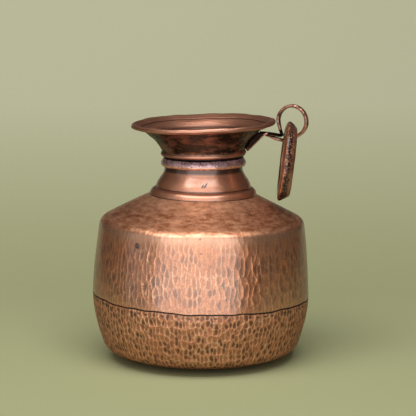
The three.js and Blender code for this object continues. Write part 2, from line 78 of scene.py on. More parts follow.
def finish_of(name, metallic, roughness, film=0.0):
    """A new material with its Principled shader, whose inputs are then linked or set. The film is a clear
    skin of oxide and oil over the metal: it adds a white gloss to the copper's own red one. Thin tarnish
    keeps the metal brown where it is seen at a slant, instead of turning pale there."""
    material = bpy.data.materials.new(name)
    material.use_nodes = True
    shader = material.node_tree.nodes["Principled BSDF"]
    shader.inputs["Metallic"].default_value = metallic
    shader.inputs["Roughness"].default_value = roughness
    if metallic:
        shader.inputs["Specular Tint"].default_value = linear("#6E4430")
    shader.inputs["Coat Weight"].default_value = film
    shader.inputs["Coat IOR"].default_value = 1.9
    shader.inputs["Coat Roughness"].default_value = 0.22
    return material, shader


def surface(name, points, uv, closed_rows=False, solid=True):
    """Makes a mesh from a grid of points in mm, rows by columns. The columns close on themselves where the
    UV grid has one column more than the points, and the rows too where closed_rows is set. Doubled points,
    as at a pole, are merged, and a solid's faces are turned outwards by the sign of its volume."""
    rows, columns = points.shape[:2]
    i, j = np.arange(rows if closed_rows else rows - 1), np.arange(uv.shape[1] - 1)
    i, j = np.meshgrid(i, j, indexing="ij")
    corners = [(i, j), (i, j + 1), (i + 1, j + 1), (i + 1, j)]
    faces = np.stack([(a % rows) * columns + b % columns for a, b in corners], -1).reshape(-1, 4)
    flat_uv = np.stack([uv[a, b] for a, b in corners], 2).reshape(-1, 4, 2)
    place = points.reshape(-1, 3) / 1000
    if solid:
        p = place[faces]
        one, two, three = (p[:, k] - p[:, 0] for k in (1, 2, 3))
        spread = np.cross(one, two) + np.cross(two, three)
        if np.einsum("ij,ij->", p.mean(1), spread) < 0:
            faces, flat_uv = faces[:, ::-1], flat_uv[:, ::-1]
    mesh = bpy.data.meshes.new(name)
    mesh.from_pydata(place.tolist(), [], faces.tolist())
    mesh.uv_layers.new(name="mm").uv.foreach_set("vector", flat_uv.reshape(-1))
    mesh.polygons.foreach_set("use_smooth", np.ones(len(faces), bool))
    piece = bpy.data.objects.new(name, mesh)
    bpy.context.scene.collection.objects.link(piece)
    if solid:
        work = bmesh.new()
        work.from_mesh(mesh)
        bmesh.ops.remove_doubles(work, verts=work.verts, dist=1e-7)
        bmesh.ops.dissolve_degenerate(work, edges=work.edges, dist=1e-8)
        work.to_mesh(mesh)
        work.free()
    mesh.update()
    return piece


def sweep_of_paper():
    """A sheet 1.36 m wide: flat from a table's edge 0.27 m in front of the pot to 0.3 m behind it, then
    bent up on a circle of 1.4 m radius till it stands 0.35 m high. Past its edges the room is dim."""
    front, back, radius, high, half_width = -270, 300, 1400, 350, 680
    bend = np.linspace(0, np.arccos(1 - high / radius), 30)
    y = np.concatenate([[front], back + radius * np.sin(bend)])
    z = np.concatenate([[0], radius * (1 - np.cos(bend))])
    x = np.array([-half_width, half_width])
    points = np.stack([np.broadcast_to(c, (len(y), 2)) for c in (x[None], y[:, None], z[:, None])], -1)
    return surface("sweep", points, points[:, :, :2], solid=False)


sweep = sweep_of_paper()
paper, shader = finish_of("khaki background paper", metallic=0, roughness=0.9)
spot = add(paper, "TexCoord", result=3)
height = add(paper, "SeparateXYZ", spot, result=2)
# painted light: the upright part of the paper is painted paler than the flat part
up = add(paper, "MapRange", height, 0.0, 0.17, 0.0, 1.0)
tone = add(paper, "Mix", data_type="RGBA", Factor_Float=up, A_Color=linear("#989A71"),
           B_Color=linear("#B2B193"), result=2)
grain = add(paper, "TexNoise", spot, Scale=1 / 0.004, Detail=3.0)
mottle = add(paper, "MapRange", grain, 0.3, 0.7, 0.985, 1.015)
tone = add(paper, "VectorMath", tone, operation="SCALE", Scale=mottle)
paper.node_tree.links.new(tone, shader.inputs["Base Color"])
sweep.data.materials.append(paper)

# Lamps. A wide softbox stands in front of the table, behind the camera, and reaches from below the table's
# top to well above the camera. A smaller one hangs overhead, a little in front, and a dim one stands at
# the left. The room itself is dim.
def softbox(name, width, height, place, tilt, watts, turn=0):
    """A rectangular panel of even light. Tilt 90 faces it level along +Y and 0 straight down, and the turn
    about the upright is in degrees too."""
    lamp = bpy.data.objects.new(name, bpy.data.lights.new(name, "AREA"))
    lamp.data.shape = "RECTANGLE"
    lamp.data.size, lamp.data.size_y = width, height
    lamp.data.energy = watts
    lamp.location = place
    lamp.rotation_euler = (np.radians(tilt), 0, np.radians(turn))
    bpy.context.scene.collection.objects.link(lamp)


softbox("front softbox", 4.2, 3.4, (-0.3, -2.25, 0.65), tilt=90, watts=73)
softbox("overhead softbox", 2.8, 1.5, (-0.25, -0.8, 2.4), tilt=20, watts=74)
softbox("left softbox", 1.2, 2.2, (-1.76, -0.73, 0.8), tilt=90, watts=3, turn=-67.5)

room = bpy.data.worlds.new("room")
bpy.context.scene.world = room
room.use_nodes = True
room.node_tree.nodes["Background"].inputs["Color"].default_value = linear("#B9B2A2")
room.node_tree.nodes["Background"].inputs["Strength"].default_value = 0.13


# Lower bowl. One disc of copper raised into the lower half of the body, hammered all over from outside.
# Its edge is set in by one sheet and enters the upper body, so the seam shows as a thin dark line.
sheet = 1.5  # the copper's thickness in mm, like all lengths of the meshes
foot_radius, belly, seam = 48.6, 115, 69  # belly: its radius; seam: its height
edge_radius, edge_height = 108.1, 148.4  # where wall and shoulder would meet, were their edge sharp
collar_height, neck_foot, lip_height = 174.2, 182.8, 249.5


def smooth(value, low, high):
    """0 below low, 1 above high, and a smooth step between."""
    t = np.clip((value - low) / (high - low), 0, 1)
    return t * t * (3 - 2 * t)


def settled(points):
    """The pot was raised by eye: x moves by an amount that depends on height, and height changes with x.
    The belly stands a little to the left, the neck to the right, the seam and the shoulder dip to the
    right, and the mouth tips up there."""
    x, y, z = points[..., 0], points[..., 1], points[..., 2]
    r = np.hypot(x, y)
    on_wall = smooth(z, seam, edge_height)
    shift = -0.6 * smooth(z, 0, 31.05) + 1.4 * on_wall + 1.6 * smooth(z, 165.6, neck_foot)
    rate = -0.006 * np.where(z < seam, smooth(r, foot_radius, 92), 1) - 0.022 * smooth(z, 27.6, seam)
    rate = rate + 0.014 * on_wall + 0.042 * smooth(z, collar_height, lip_height)
    return np.stack([x + shift, y, z + x * rate], -1)


def turning(start, end, late, steps):
    """A path of length 1. Its direction turns from start to end degrees, as t to the power late."""
    t = (np.arange(steps) + 0.5) / steps
    angle = np.radians(start + (end - start) * t**late)
    way = np.stack([np.cos(angle), np.sin(angle)], 1) / steps
    return np.vstack([[0, 0], np.cumsum(way, axis=0)])


def inner_face(outer, wall):
    """The outline moved square to itself into the sheet by its thickness."""
    way = np.gradient(outer, axis=0)
    way /= np.linalg.norm(way, axis=1, keepdims=True)
    return outer + wall * np.stack([-way[:, 1], way[:, 0]], 1)


def eased_corners(outline, radius, sharp=25):
    """Rounds each corner of a closed outline that turns by more than so many degrees: the corner becomes
    a quadratic curve between a point before it and one after it, each at most the radius away."""
    back, ahead = np.roll(outline, 1, 0) - outline, np.roll(outline, -1, 0) - outline
    behind, before = (np.maximum(np.linalg.norm(way, axis=1), 1e-9) for way in (back, ahead))
    turn = 180 - np.degrees(np.arccos(np.clip((back * ahead).sum(1) / (behind * before), -1, 1)))
    start = outline + back * np.minimum(radius / behind, 0.45)[:, None]
    end = outline + ahead * np.minimum(radius / before, 0.45)[:, None]
    t = np.linspace(0, 1, 5)[:, None]
    curves = (1 - t) ** 2 * start[:, None] + 2 * t * (1 - t) * outline[:, None] + t * t * end[:, None]
    kept = (outline[:, 0] < 1e-6) | (turn < sharp)
    curves[kept, 0] = outline[kept]
    used = np.ones(curves.shape[:2], bool)
    used[kept, 1:] = False
    return curves[used]


def turned(name, outline, wander=None, columns=360, round_radius=None):
    """Revolves a closed (r, z) outline round the pot's axis. wander(angle, r, z) moves each point out and
    up, as hand work does. The UV map is in mm: round the pot at round_radius, and along the outline."""
    angle = np.linspace(0, 2 * np.pi, columns + 1) + np.pi / 2
    if outline[0, 0] > 1e-6:
        outline = np.vstack([outline, outline[:1]])
    step = np.linalg.norm(np.diff(outline, axis=0), axis=1)
    along = np.concatenate([[0], np.cumsum(step)])
    r, z = outline[:, :1], outline[:, 1:]
    out, up = wander(angle[None, :-1], r, z) if wander else (0, 0)
    out = out * smooth(r, 0, 20)
    a = angle[None, :-1]
    points = np.stack([(r + out) * np.cos(a), (r + out) * np.sin(a), z + up + 0 * a], -1)
    mean = round_radius or outline[:, 0].max()
    uv = np.stack(np.meshgrid(along, (angle - np.pi / 2) * mean, indexing="ij")[::-1], -1)
    return surface(name, settled(points), uv)


def body_wander(a, r, z):
    """Raised by hand: a few shallow waves round and up the body, at most half a millimetre."""
    out = 0.22 * np.sin(3 * a + 0.021 * z + 1.1) + 0.14 * np.sin(7 * a - 0.033 * z + 0.4)
    out = out + 0.1 * np.sin(12 * a + 0.05 * z) * np.sin(0.09 * z + 2 * a)
    return out * smooth(z, 4, 30), 0 * out


def seam_line(a):
    """Height of the seam against its mean, in mm: the trimmed edge of the upper sheet wanders."""
    return 0.35 * np.sin(9 * a + 0.7) + 0.28 * np.sin(17 * a + 2.1) + 0.2 * np.sin(31 * a + 0.3)


def wall_radius(z):
    """The wall above the seam draws in by 6.9 mm over its height, slowly first."""
    rise = np.clip(z - seam, 0, None) / (edge_height - seam)
    return belly - (belly - edge_radius) * rise**1.5


def bowl_outline():
    """A flat foot, a bottom that lifts to 21 degrees, a corner of 15.3 mm radius, and a wall that turns
    upright by the seam. Bottom and wall have the lengths that reach the seam at the belly's radius. The
    lap above lies 0.3 mm inside the wall and goes up 9 mm."""
    lift, steep, corner_radius = 21, 71.9, 15.3
    bottom, wall = turning(0, lift, late=1, steps=40), turning(steep, 90, late=1.66, steps=50)
    bend = np.radians(np.linspace(lift, steep, 24) - 90)
    corner = corner_radius * np.stack([np.cos(bend), np.sin(bend)], 1)
    reach = np.array([belly - foot_radius, seam]) - (corner[-1] - corner[0])
    lengths = np.linalg.solve(np.stack([bottom[-1], wall[-1]], 1), reach)
    bottom = bottom * lengths[0] + [foot_radius, 0]
    corner = corner[1:] - corner[0] + bottom[-1]
    wall = wall[1:-2] * lengths[1] + corner[-1]
    outer = np.vstack([[[0, 0]], bottom, corner, wall])
    inner = inner_face(outer[1:], sheet)
    top = seam + 9
    lap = wall_radius(top) - sheet - 0.3
    groove = [[belly - 0.1, seam - 1], [belly - 0.5, seam - 0.6], [belly - 1.8, seam - 0.35]]
    return np.vstack([outer, groove, [[lap, top], [lap - sheet, top]], inner[::-1], [[0, sheet]]])


def bowl_wander(a, r, z):
    """As the body's, and the groove under the seam follows the upper sheet's edge."""
    out, up = body_wander(a, r, z)
    return out, seam_line(a) * smooth(z, 55, 68)


outline = eased_corners(bowl_outline(), 0.5)
bowl = turned("raised_bowl", outline, bowl_wander, round_radius=belly)
bowl_length = np.concatenate([[0], np.cumsum(np.linalg.norm(np.diff(outline, axis=0), axis=1))])
seam_at = bowl_length[np.argmin(np.hypot(*(outline - [belly - 0.1, seam - 1]).T))]


def hammer_marks(material, spot, wide, tall, loose, seed):
    """Marks of a planishing hammer, each a shallow oval hollow: the squared distance to the nearest of
    scattered points, in mark widths. Where the map's two ends meet behind the pot, a second set of marks
    cuts into the first, so that no line shows. Returns the squared distance, the ridges between marks,
    which are strongest at a mark's left and right, and each mark's own number."""
    across, along, _ = (add(material, "SeparateXYZ", spot, result=k) for k in range(3))
    round_pot = 2 * np.pi * belly
    sets = []
    for number in range(2):
        turned_on = add(material, "Math", across, round_pot / 2 * number, operation="ADD")
        place = add(material, "Math", turned_on, round_pot, 0.0, operation="WRAP")
        x = add(material, "Math", place, 1 / wide, seed + 37.0 * number, operation="MULTIPLY_ADD")
        y = add(material, "Math", along, 1 / tall, seed, operation="MULTIPLY_ADD")
        at = add(material, "CombineXYZ", x, y, 0.0)
        cells = {"voronoi_dimensions": "2D", "Scale": 1.0, "Randomness": loose}
        near = add(material, "TexVoronoi", at, **cells)
        edge = add(material, "TexVoronoi", at, feature="DISTANCE_TO_EDGE", **cells)
        ridge = add(material, "MapRange", edge, 0.0, 0.24, 1.0, 0.0, interpolation_type="SMOOTHSTEP")
        aside = add(material, "VectorMath", at, near.node.outputs["Position"], operation="SUBTRACT")
        aside = add(material, "VectorMath", aside, operation="ABSOLUTE")
        dx, dy = (add(material, "SeparateXYZ", aside, result=k) for k in range(2))
        aside = add(material, "Math", dy, -0.75, dx, operation="MULTIPLY_ADD")
        aside = add(material, "MapRange", aside, -0.25, 0.15, 0.15, 1.0)
        ridge = add(material, "Math", ridge, aside, operation="MULTIPLY")
        tint = near.node.outputs["Color"]
        squared = add(material, "Math", near, near, operation="MULTIPLY")
        ahead = add(material, "Math", across, round_pot / 2, operation="SUBTRACT")
        off = add(material, "Math", ahead, operation="ABSOLUTE")
        behind = add(material, "MapRange", off, round_pot / 2 - 60, round_pot / 2 - 10, 0.0, 0.8)
        if number:
            behind = add(material, "Math", 0.8, behind, operation="SUBTRACT")
        sets.append((add(material, "Math", squared, behind, operation="ADD"), ridge, tint))
    (first, ridge_a, tint_a), (second, ridge_b, tint_b) = sets
    deepest = add(material, "Math", first, second, operation="MINIMUM")
    which = add(material, "Math", second, first, operation="LESS_THAN")
    ridge = add(material, "Mix", data_type="FLOAT", Factor_Float=which, A_Float=ridge_a, B_Float=ridge_b)
    own = add(material, "Mix", data_type="RGBA", Factor_Float=which, A_Color=tint_a, B_Color=tint_b,
              result=2)
    return deepest, ridge, add(material, "SeparateColor", own)


def shown(material, shader, colour, roughness, height, metal=None, film=None):
    """Links a finish's colour, roughness, relief (a height in mm), share of bare metal and film."""
    relief = add(material, "Bump", Strength=1.0, Distance=0.001, Height=height)
    sources = {"Base Color": colour, "Roughness": roughness, "Normal": relief}
    sources |= {"Metallic": metal, "Coat Weight": film}
    for name, value in sources.items():
        if value is not None:
            material.node_tree.links.new(value, shader.inputs[name])


# Raised copper under the hammer: hollows 4.6 by 7.5 mm, many tarnished dark brown at heart, between pale
# ridges that polishing has reached. A 2 mm grain of dull specks lies over both, drawn coarser than the
# real one so that it shows, and a row of small punched dents follows the seam.
bowl_copper, shader = finish_of("hammered copper, raised bowl", metallic=1, roughness=0.34, film=0.2)
spot = add(bowl_copper, "UVMap", uv_map="mm")
place = add(bowl_copper, "TexCoord", result=3)
across, along, _ = (add(bowl_copper, "SeparateXYZ", spot, result=k) for k in range(3))
wobble = add(bowl_copper, "TexNoise", spot, Scale=1 / 9, Detail=1.0, result=1)
wobble = add(bowl_copper, "VectorMath", wobble, (4.0, 4.0, 0.0), operation="MULTIPLY")
wobble = add(bowl_copper, "VectorMath", spot, wobble, operation="ADD")
squared, ridge, own = hammer_marks(bowl_copper, wobble, wide=4.6, tall=7.5, loose=0.75, seed=5.0)
patches = add(bowl_copper, "TexNoise", place, Scale=1 / 0.03, Detail=3.0, Roughness=0.6)
worn = add(bowl_copper, "MapRange", patches, 0.35, 0.65, 0.35, 0.9)
ridge = add(bowl_copper, "Math", ridge, worn, operation="MULTIPLY")
heart = add(bowl_copper, "MapRange", squared, 0.04, 0.26, 1.0, 0.0, interpolation_type="SMOOTHSTEP")
tarnish = add(bowl_copper, "MapRange", own, 0.1, 0.9, 0.15, 0.85)
dark = add(bowl_copper, "Math", heart, tarnish, operation="MULTIPLY", use_clamp=True)
grain = add(bowl_copper, "TexNoise", place, Scale=1 / 0.0019, Detail=4.0, Roughness=0.75)
dulled = add(bowl_copper, "MapRange", grain, 0.46, 0.6, 0.0, 0.5)
dent = add(bowl_copper, "Math", across, 1 / 4.6, operation="MULTIPLY")
dent = add(bowl_copper, "Math", dent, 1.0, operation="PINGPONG")
below = add(bowl_copper, "Math", along, seam_at - 3.2, operation="SUBTRACT")
below = add(bowl_copper, "Math", below, 1 / 2.2, operation="MULTIPLY")
dent = add(bowl_copper, "CombineXYZ", dent, below, 0.0)
dent = add(bowl_copper, "VectorMath", dent, operation="LENGTH", result=1)
dent = add(bowl_copper, "MapRange", dent, 0.25, 0.6, 1.0, 0.0)
some = add(bowl_copper, "MapRange", patches, 0.42, 0.55, 0.1, 0.85)
dent = add(bowl_copper, "Math", dent, some, operation="MULTIPLY")
seam_gap = add(bowl_copper, "MapRange", along, seam_at - 0.5, seam_at + 0.1, 0.0, 1.0)
tone = linear("#C8855F")
for share, colour in ((ridge, "#FBCDA9"), (dark, "#4B3329"), (dulled, "#7D5039"), (dent, "#4E342A"),
                      (seam_gap, "#3A2C28")):
    tone = add(bowl_copper, "Mix", data_type="RGBA", Factor_Float=share, A_Color=tone,
               B_Color=linear(colour), result=2)
relief = add(bowl_copper, "Math", squared, 1.25, operation="MULTIPLY")
for pattern, height in ((grain, -0.15), (dent, -0.2)):
    relief = add(bowl_copper, "Math", pattern, height, relief, operation="MULTIPLY_ADD")
rough = add(bowl_copper, "MapRange", ridge, 0.0, 1.0, 0.56, 0.42)
metal = add(bowl_copper, "MapRange", ridge, 0.0, 1.0, 0.8, 1.0)
shown(bowl_copper, shader, tone, rough, relief, metal)
bowl.data.materials.append(bowl_copper)
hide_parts("lower_bowl")
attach(bowl, "pot")


# Upper body. The wall above the seam and the shoulder are one sheet, turned over a rounded edge. The wall
# keeps its long hammer marks; the shoulder was planished smooth and only shows a mottle.
collar_radius, collar_slope = 57.6, 0.55  # the shoulder's upper end, and its rise per mm inwards there


def upper_outline():
    """Wall, a quadratic turn over the edge, and a shoulder that rises 25.8 mm to the neck's collar."""
    z = np.linspace(seam, edge_height - 5.6, 60)
    wall = np.stack([wall_radius(z), z], 1)
    t = np.linspace(0.14, 1, 60)[:, None]
    edge = np.array([edge_radius, edge_height])
    shoulder = edge + ([collar_radius, collar_height] - edge) * t + [0, 0.2] * np.sin(np.pi * t)
    s = np.linspace(0, 1, 20)[1:-1, None]
    turn = (1 - s) ** 2 * wall[-1] + 2 * s * (1 - s) * edge + s * s * shoulder[0]
    collar = [[collar_radius - 3.4, collar_height + 3.4 * collar_slope]]
    outer = np.vstack([wall, turn, shoulder, collar])
    return np.vstack([outer, inner_face(outer, sheet)[::-1]])


def upper_wander(a, r, z):
    """As the body's; the trimmed edge follows the seam's line, and the shoulder's edge waves a little."""
    out, up = body_wander(a, r, z)
    edge = 0.35 * np.sin(5 * a + 1.9) + 0.2 * np.sin(11 * a)
    up = seam_line(a) * (1 - smooth(z, seam, seam + 9)) + edge * smooth(z, 135, 147) * smooth(r, 80, 106)
    return out * (1 - 0.6 * smooth(z, 150, 172)), up


outline = eased_corners(upper_outline(), 0.4)
upper = turned("wall_and_shoulder", outline, upper_wander, columns=320, round_radius=belly)

# Hammered copper on the wall: long marks of 5 by 11 mm in a net of pale ridges, streaked by upright
# polishing, grained and dotted with pits and one dark scar; they fade to a smooth band under the edge,
# painted pale all round, partly as burnished metal and partly as a painted highlight. Satin copper on the
# shoulder: a thin brown tarnish is mottled there and dulls the metal; towards the collar it is painted
# paler, a painted highlight.
wall_copper, shader = finish_of("hammered copper, wall and shoulder", metallic=1, roughness=0.3, film=0.85)
spot = add(wall_copper, "UVMap", uv_map="mm")
place = add(wall_copper, "TexCoord", result=3)
along = add(wall_copper, "SeparateXYZ", spot, result=1)
wobble = add(wall_copper, "TexNoise", spot, Scale=1 / 14, Detail=1.0, result=1)
wobble = add(wall_copper, "VectorMath", wobble, (5.0, 9.0, 0.0), operation="MULTIPLY")
wobble = add(wall_copper, "VectorMath", spot, wobble, operation="ADD")
squared, ridge, own = hammer_marks(wall_copper, wobble, wide=5.0, tall=11.0, loose=0.75, seed=11.0)
patches = add(wall_copper, "TexNoise", place, Scale=1 / 0.03, Detail=3.0, Roughness=0.6)
on_wall = add(wall_copper, "MapRange", along, 50.0, 73.0, 1.0, 0.25)
above_seam = add(wall_copper, "MapRange", along, 2.0, 9.0, 0.2, 1.0)
marked = add(wall_copper, "Math", on_wall, above_seam, operation="MULTIPLY")
shoulder = add(wall_copper, "MapRange", along, 76.0, 81.0, 0.0, 1.0, interpolation_type="SMOOTHSTEP")
streaks = add(wall_copper, "VectorMath", spot, (1 / 1.1, 1 / 24, 1.0), operation="MULTIPLY")
streaks = add(wall_copper, "TexNoise", streaks, Scale=1.0, Detail=3.0, Roughness=0.6)
worn = add(wall_copper, "MapRange", patches, 0.35, 0.65, 0.1, 0.75)
ridge = add(wall_copper, "Math", ridge, worn, operation="MULTIPLY")
# partly burnished metal, partly a painted highlight: the band under the edge is painted pale all round
rubbed = add(wall_copper, "MapRange", along, 66.0, 75.0, 0.0, 0.4)
ridge = add(wall_copper, "Math", ridge, rubbed, operation="MAXIMUM")
heart = add(wall_copper, "MapRange", squared, 0.05, 0.3, 1.0, 0.0, interpolation_type="SMOOTHSTEP")
tarnish = add(wall_copper, "MapRange", own, 0.2, 0.9, 0.0, 0.6)
dark = add(wall_copper, "Math", heart, tarnish, operation="MULTIPLY")
dark = add(wall_copper, "Math", dark, marked, operation="MULTIPLY")
streaked = add(wall_copper, "MapRange", streaks, 0.4, 0.68, 0.0, 0.25)
dark = add(wall_copper, "Math", dark, streaked, operation="ADD", use_clamp=True)
grain = add(wall_copper, "TexNoise", place, Scale=1 / 0.0019, Detail=4.0, Roughness=0.75)
dulled = add(wall_copper, "MapRange", grain, 0.46, 0.6, 0.0, 0.6)
dulled = add(wall_copper, "Math", dulled, on_wall, operation="MULTIPLY")
grain = add(wall_copper, "Math", grain, on_wall, operation="MULTIPLY")
tone = linear("#D2885D")
for share, colour in ((ridge, "#FBCDA9"), (dark, "#5C443A"), (dulled, "#8A5B43")):
    tone = add(wall_copper, "Mix", data_type="RGBA", Factor_Float=share, A_Color=tone,
               B_Color=linear(colour), result=2)
drawn = add(wall_copper, "VectorMath", spot, (1 / 16, 1 / 7, 1.0), operation="MULTIPLY")
mottle = add(wall_copper, "TexNoise", drawn, Scale=1.0, Detail=8.0, Roughness=0.72)
satin = add(wall_copper, "MapRange", mottle, 0.36, 0.6, 0.0, 0.85)
# painted highlight: the shoulder is painted paler towards the collar
painted_highlight_by_collar = add(wall_copper, "MapRange", along, 112.0, 130.0, 0.0, 0.6)
satin = add(wall_copper, "Math", satin, painted_highlight_by_collar, operation="ADD")
satin = add(wall_copper, "Mix", data_type="RGBA", Factor_Float=satin, A_Color=linear("#9A5935"),
            B_Color=linear("#F0B089"), clamp_factor=False, clamp_result=True, result=2)
tone = add(wall_copper, "Mix", data_type="RGBA", Factor_Float=shoulder, A_Color=tone, B_Color=satin,
           result=2)
pits = add(wall_copper, "TexVoronoi", place, Scale=1 / 0.0065, Randomness=1.0)
few = add(wall_copper, "SeparateColor", pits.node.outputs["Color"])
few = add(wall_copper, "Math", few, 0.86, operation="GREATER_THAN")
pits = add(wall_copper, "MapRange", pits, 0.08, 0.17, 0.9, 0.0)
pits = add(wall_copper, "Math", pits, few, operation="MULTIPLY")
scar = add(wall_copper, "VectorMath", place, (-0.0652, -0.0892, 0.1345), operation="DISTANCE", result=1)
scar = add(wall_copper, "MapRange", scar, 0.001, 0.006, 0.75, 0.25)
torn = add(wall_copper, "TexNoise", place, Scale=1 / 0.002, Detail=3.0, Roughness=0.65)
scar = add(wall_copper, "Math", scar, torn, operation="ADD")
scar = add(wall_copper, "MapRange", scar, 0.98, 1.1, 0.0, 0.9)
pits = add(wall_copper, "Math", pits, scar, operation="MAXIMUM")
reach = add(wall_copper, "MapRange", patches, 0.3, 0.7, 0.2, 1.3)
grime = add(wall_copper, "Math", along, reach, operation="DIVIDE")
grime = add(wall_copper, "MapRange", grime, 0.4, 1.3, 0.85, 0.0)
grime = add(wall_copper, "Math", grime, pits, operation="MAXIMUM")
tone = add(wall_copper, "Mix", data_type="RGBA", Factor_Float=grime, A_Color=tone,
           B_Color=linear("#33272A"), result=2)
relief = add(wall_copper, "Math", squared, 0.9, operation="MULTIPLY")
relief = add(wall_copper, "Math", relief, marked, operation="MULTIPLY")
for pattern, height in ((streaks, 0.03), (mottle, 0.2), (pits, -0.15), (grain, -0.15)):
    relief = add(wall_copper, "Math", pattern, height, relief, operation="MULTIPLY_ADD")
rough = add(wall_copper, "MapRange", ridge, 0.0, 1.0, 0.34, 0.26)
rough = add(wall_copper, "Mix", data_type="FLOAT", Factor_Float=shoulder, A_Float=rough, B_Float=0.46)
metal = add(wall_copper, "MapRange", ridge, 0.0, 1.0, 0.8, 1.0)
metal = add(wall_copper, "Mix", data_type="FLOAT", Factor_Float=shoulder, A_Float=metal, B_Float=0.95)
film = add(wall_copper, "MapRange", shoulder, 0.0, 1.0, 0.85, 0.3)
shown(wall_copper, shader, tone, rough, relief, metal, film)
upper.data.materials.append(wall_copper)
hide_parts("upper_body")
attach(upper, "pot")


# Neck. A bright cone between shoulder and band, spun or raised apart, with a rounded foot that flares
# over the shoulder's collar. A thin crease runs above the foot and another below it; both are painted dark
# as shade.
throat_radius = 41.2


def neck_outline():
    """A rounded foot 8.6 mm high, a cone that draws in by a smooth step, and a straight spigot."""
    t = np.linspace(0, 1, 24)[:, None]
    waist = np.array([50.1, neck_foot])
    foot = (1 - t) ** 2 * [[56.8, 174.94]] + 2 * t * (1 - t) * [[55.86, 181.4]] + t * t * waist
    t = np.linspace(0.03, 1, 40)
    cone = np.stack([waist[0] - (waist[0] - throat_radius) * smooth(t, 0, 1), neck_foot + 19.8 * t], 1)
    outer = np.vstack([foot, cone, [[throat_radius, 206]], [[throat_radius, 210.5]]])
    inner = inner_face(outer, sheet)
    inner[0] = [55.3, collar_height + (collar_radius - 55.3) * collar_slope + 0.3]
    return np.vstack([outer, inner[::-1]])


def neck_wander(a, r, z):
    """Hand work on a thin cone: shallow waves, and the foot's edge rises and falls a little."""
    out = 0.18 * np.sin(4 * a + 0.6) + 0.12 * np.sin(9 * a + 0.1 * z)
    out = out * smooth(z, 184, 190) * (1 - smooth(z, 200, 204))
    return out, 0.12 * np.sin(6 * a + 1) * smooth(z, 176, 182) * (1 - smooth(z, 184, 195)) + 0 * out


neck = turned("neck_cone", eased_corners(neck_outline(), 0.4), neck_wander, columns=300, round_radius=50)
neck_length = np.linalg.norm(np.diff(neck_outline()[:26], axis=0), axis=1).sum()

# Burnished copper: the cone is scraped bright, with a few slanting scratches and faint rings from the
# burnisher. Painted shade darkens the creases above and below its foot and the cone just under the band,
# and tarnish lies in two deeper gashes in front.
neck_copper, shader = finish_of("burnished copper, neck", metallic=0.9, roughness=0.36, film=0.7)
spot = add(neck_copper, "UVMap", uv_map="mm")
place = add(neck_copper, "TexCoord", result=3)
along = add(neck_copper, "SeparateXYZ", spot, result=1)
patches = add(neck_copper, "TexNoise", place, Scale=1 / 0.012, Detail=4.0, Roughness=0.6)
rings = add(neck_copper, "VectorMath", spot, (1 / 30, 1 / 0.7, 1.0), operation="MULTIPLY")
rings = add(neck_copper, "TexNoise", rings, Scale=1.0, Detail=3.0)
slant = add(neck_copper, "Mapping", spot, Rotation=(0.0, 0.0, 1.15))
slant = add(neck_copper, "VectorMath", slant, (1 / 12, 1 / 0.35, 1.0), operation="MULTIPLY")
scratches = add(neck_copper, "TexNoise", slant, Scale=1.0, Detail=2.0)
scratches = add(neck_copper, "MapRange", scratches, 0.63, 0.7, 0.0, 0.75)
gashes = 0.0
for x, z, length in ((1.6, 189.7, 5.4), (4.8, 190.3, 7.5)):
    from_gash = add(neck_copper, "VectorMath", place, (x / 1000, -0.048, z / 1000), operation="SUBTRACT")
    on, over = np.array([0.56, 0, 0.83]) * 2000 / length, np.array([0.83, 0, -0.56]) / 0.0009
    on = add(neck_copper, "VectorMath", from_gash, tuple(on), operation="DOT_PRODUCT", result=1)
    over = add(neck_copper, "VectorMath", from_gash, tuple(over), operation="DOT_PRODUCT", result=1)
    depth = add(neck_copper, "VectorMath", from_gash, (0, 50, 0), operation="DOT_PRODUCT", result=1)
    depth = add(neck_copper, "CombineXYZ", on, over, depth)
    depth = add(neck_copper, "VectorMath", depth, operation="LENGTH", result=1)
    depth = add(neck_copper, "MapRange", depth, 0.55, 1.1, 1.0, 0.0)
    gashes = add(neck_copper, "Math", depth, gashes, operation="MAXIMUM")
wander = add(neck_copper, "MapRange", patches, 0.3, 0.7, -0.5, 0.5)
level = add(neck_copper, "Math", along, wander, operation="ADD")
# painted shade: the creases above and below the foot, and the cone just under the band, are painted dark
upper_crease = add(neck_copper, "Math", level, neck_length - 0.6, operation="SUBTRACT")
upper_crease = add(neck_copper, "Math", upper_crease, operation="ABSOLUTE")
upper_crease = add(neck_copper, "MapRange", upper_crease, 0.15, 0.75, 0.9, 0.0)
lower_crease_shade = add(neck_copper, "MapRange", level, 0.5, 1.5, 0.85, 0.0)
crease_shade_and_gashes = add(neck_copper, "Math", upper_crease, lower_crease_shade, operation="MAXIMUM")
painted_shade_below_band = add(neck_copper, "MapRange", along, neck_length + 17.5, neck_length + 20.0, 0.0, 0.9)
crease_shade_and_gashes = add(neck_copper, "Math", crease_shade_and_gashes, painted_shade_below_band, operation="MAXIMUM")
fine = add(neck_copper, "TexNoise", place, Scale=1 / 0.0035, Detail=5.0, Roughness=0.7)
browned = add(neck_copper, "Math", fine, patches, operation="ADD")
browned = add(neck_copper, "MapRange", browned, 0.8, 1.2, 0.0, 1.0)
crease_shade_and_gashes = add(neck_copper, "Math", crease_shade_and_gashes, gashes, operation="MAXIMUM")
tone = linear("#C98C70")
for share, colour in ((browned, "#C27F5A"), (scratches, "#7A4C3A"), (crease_shade_and_gashes, "#3C2620")):
    tone = add(neck_copper, "Mix", data_type="RGBA", Factor_Float=share, A_Color=tone,
               B_Color=linear(colour), result=2)
relief = add(neck_copper, "Math", rings, 0.05, operation="MULTIPLY")
for pattern, height in ((fine, 0.16), (scratches, -0.06), (gashes, -0.3), (upper_crease, -0.4)):
    relief = add(neck_copper, "Math", pattern, height, relief, operation="MULTIPLY_ADD")
rough = add(neck_copper, "MapRange", patches, 0.3, 0.7, 0.34, 0.44)
shown(neck_copper, shader, tone, rough, relief)
neck.data.materials.append(neck_copper)
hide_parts("neck")
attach(neck, "pot")


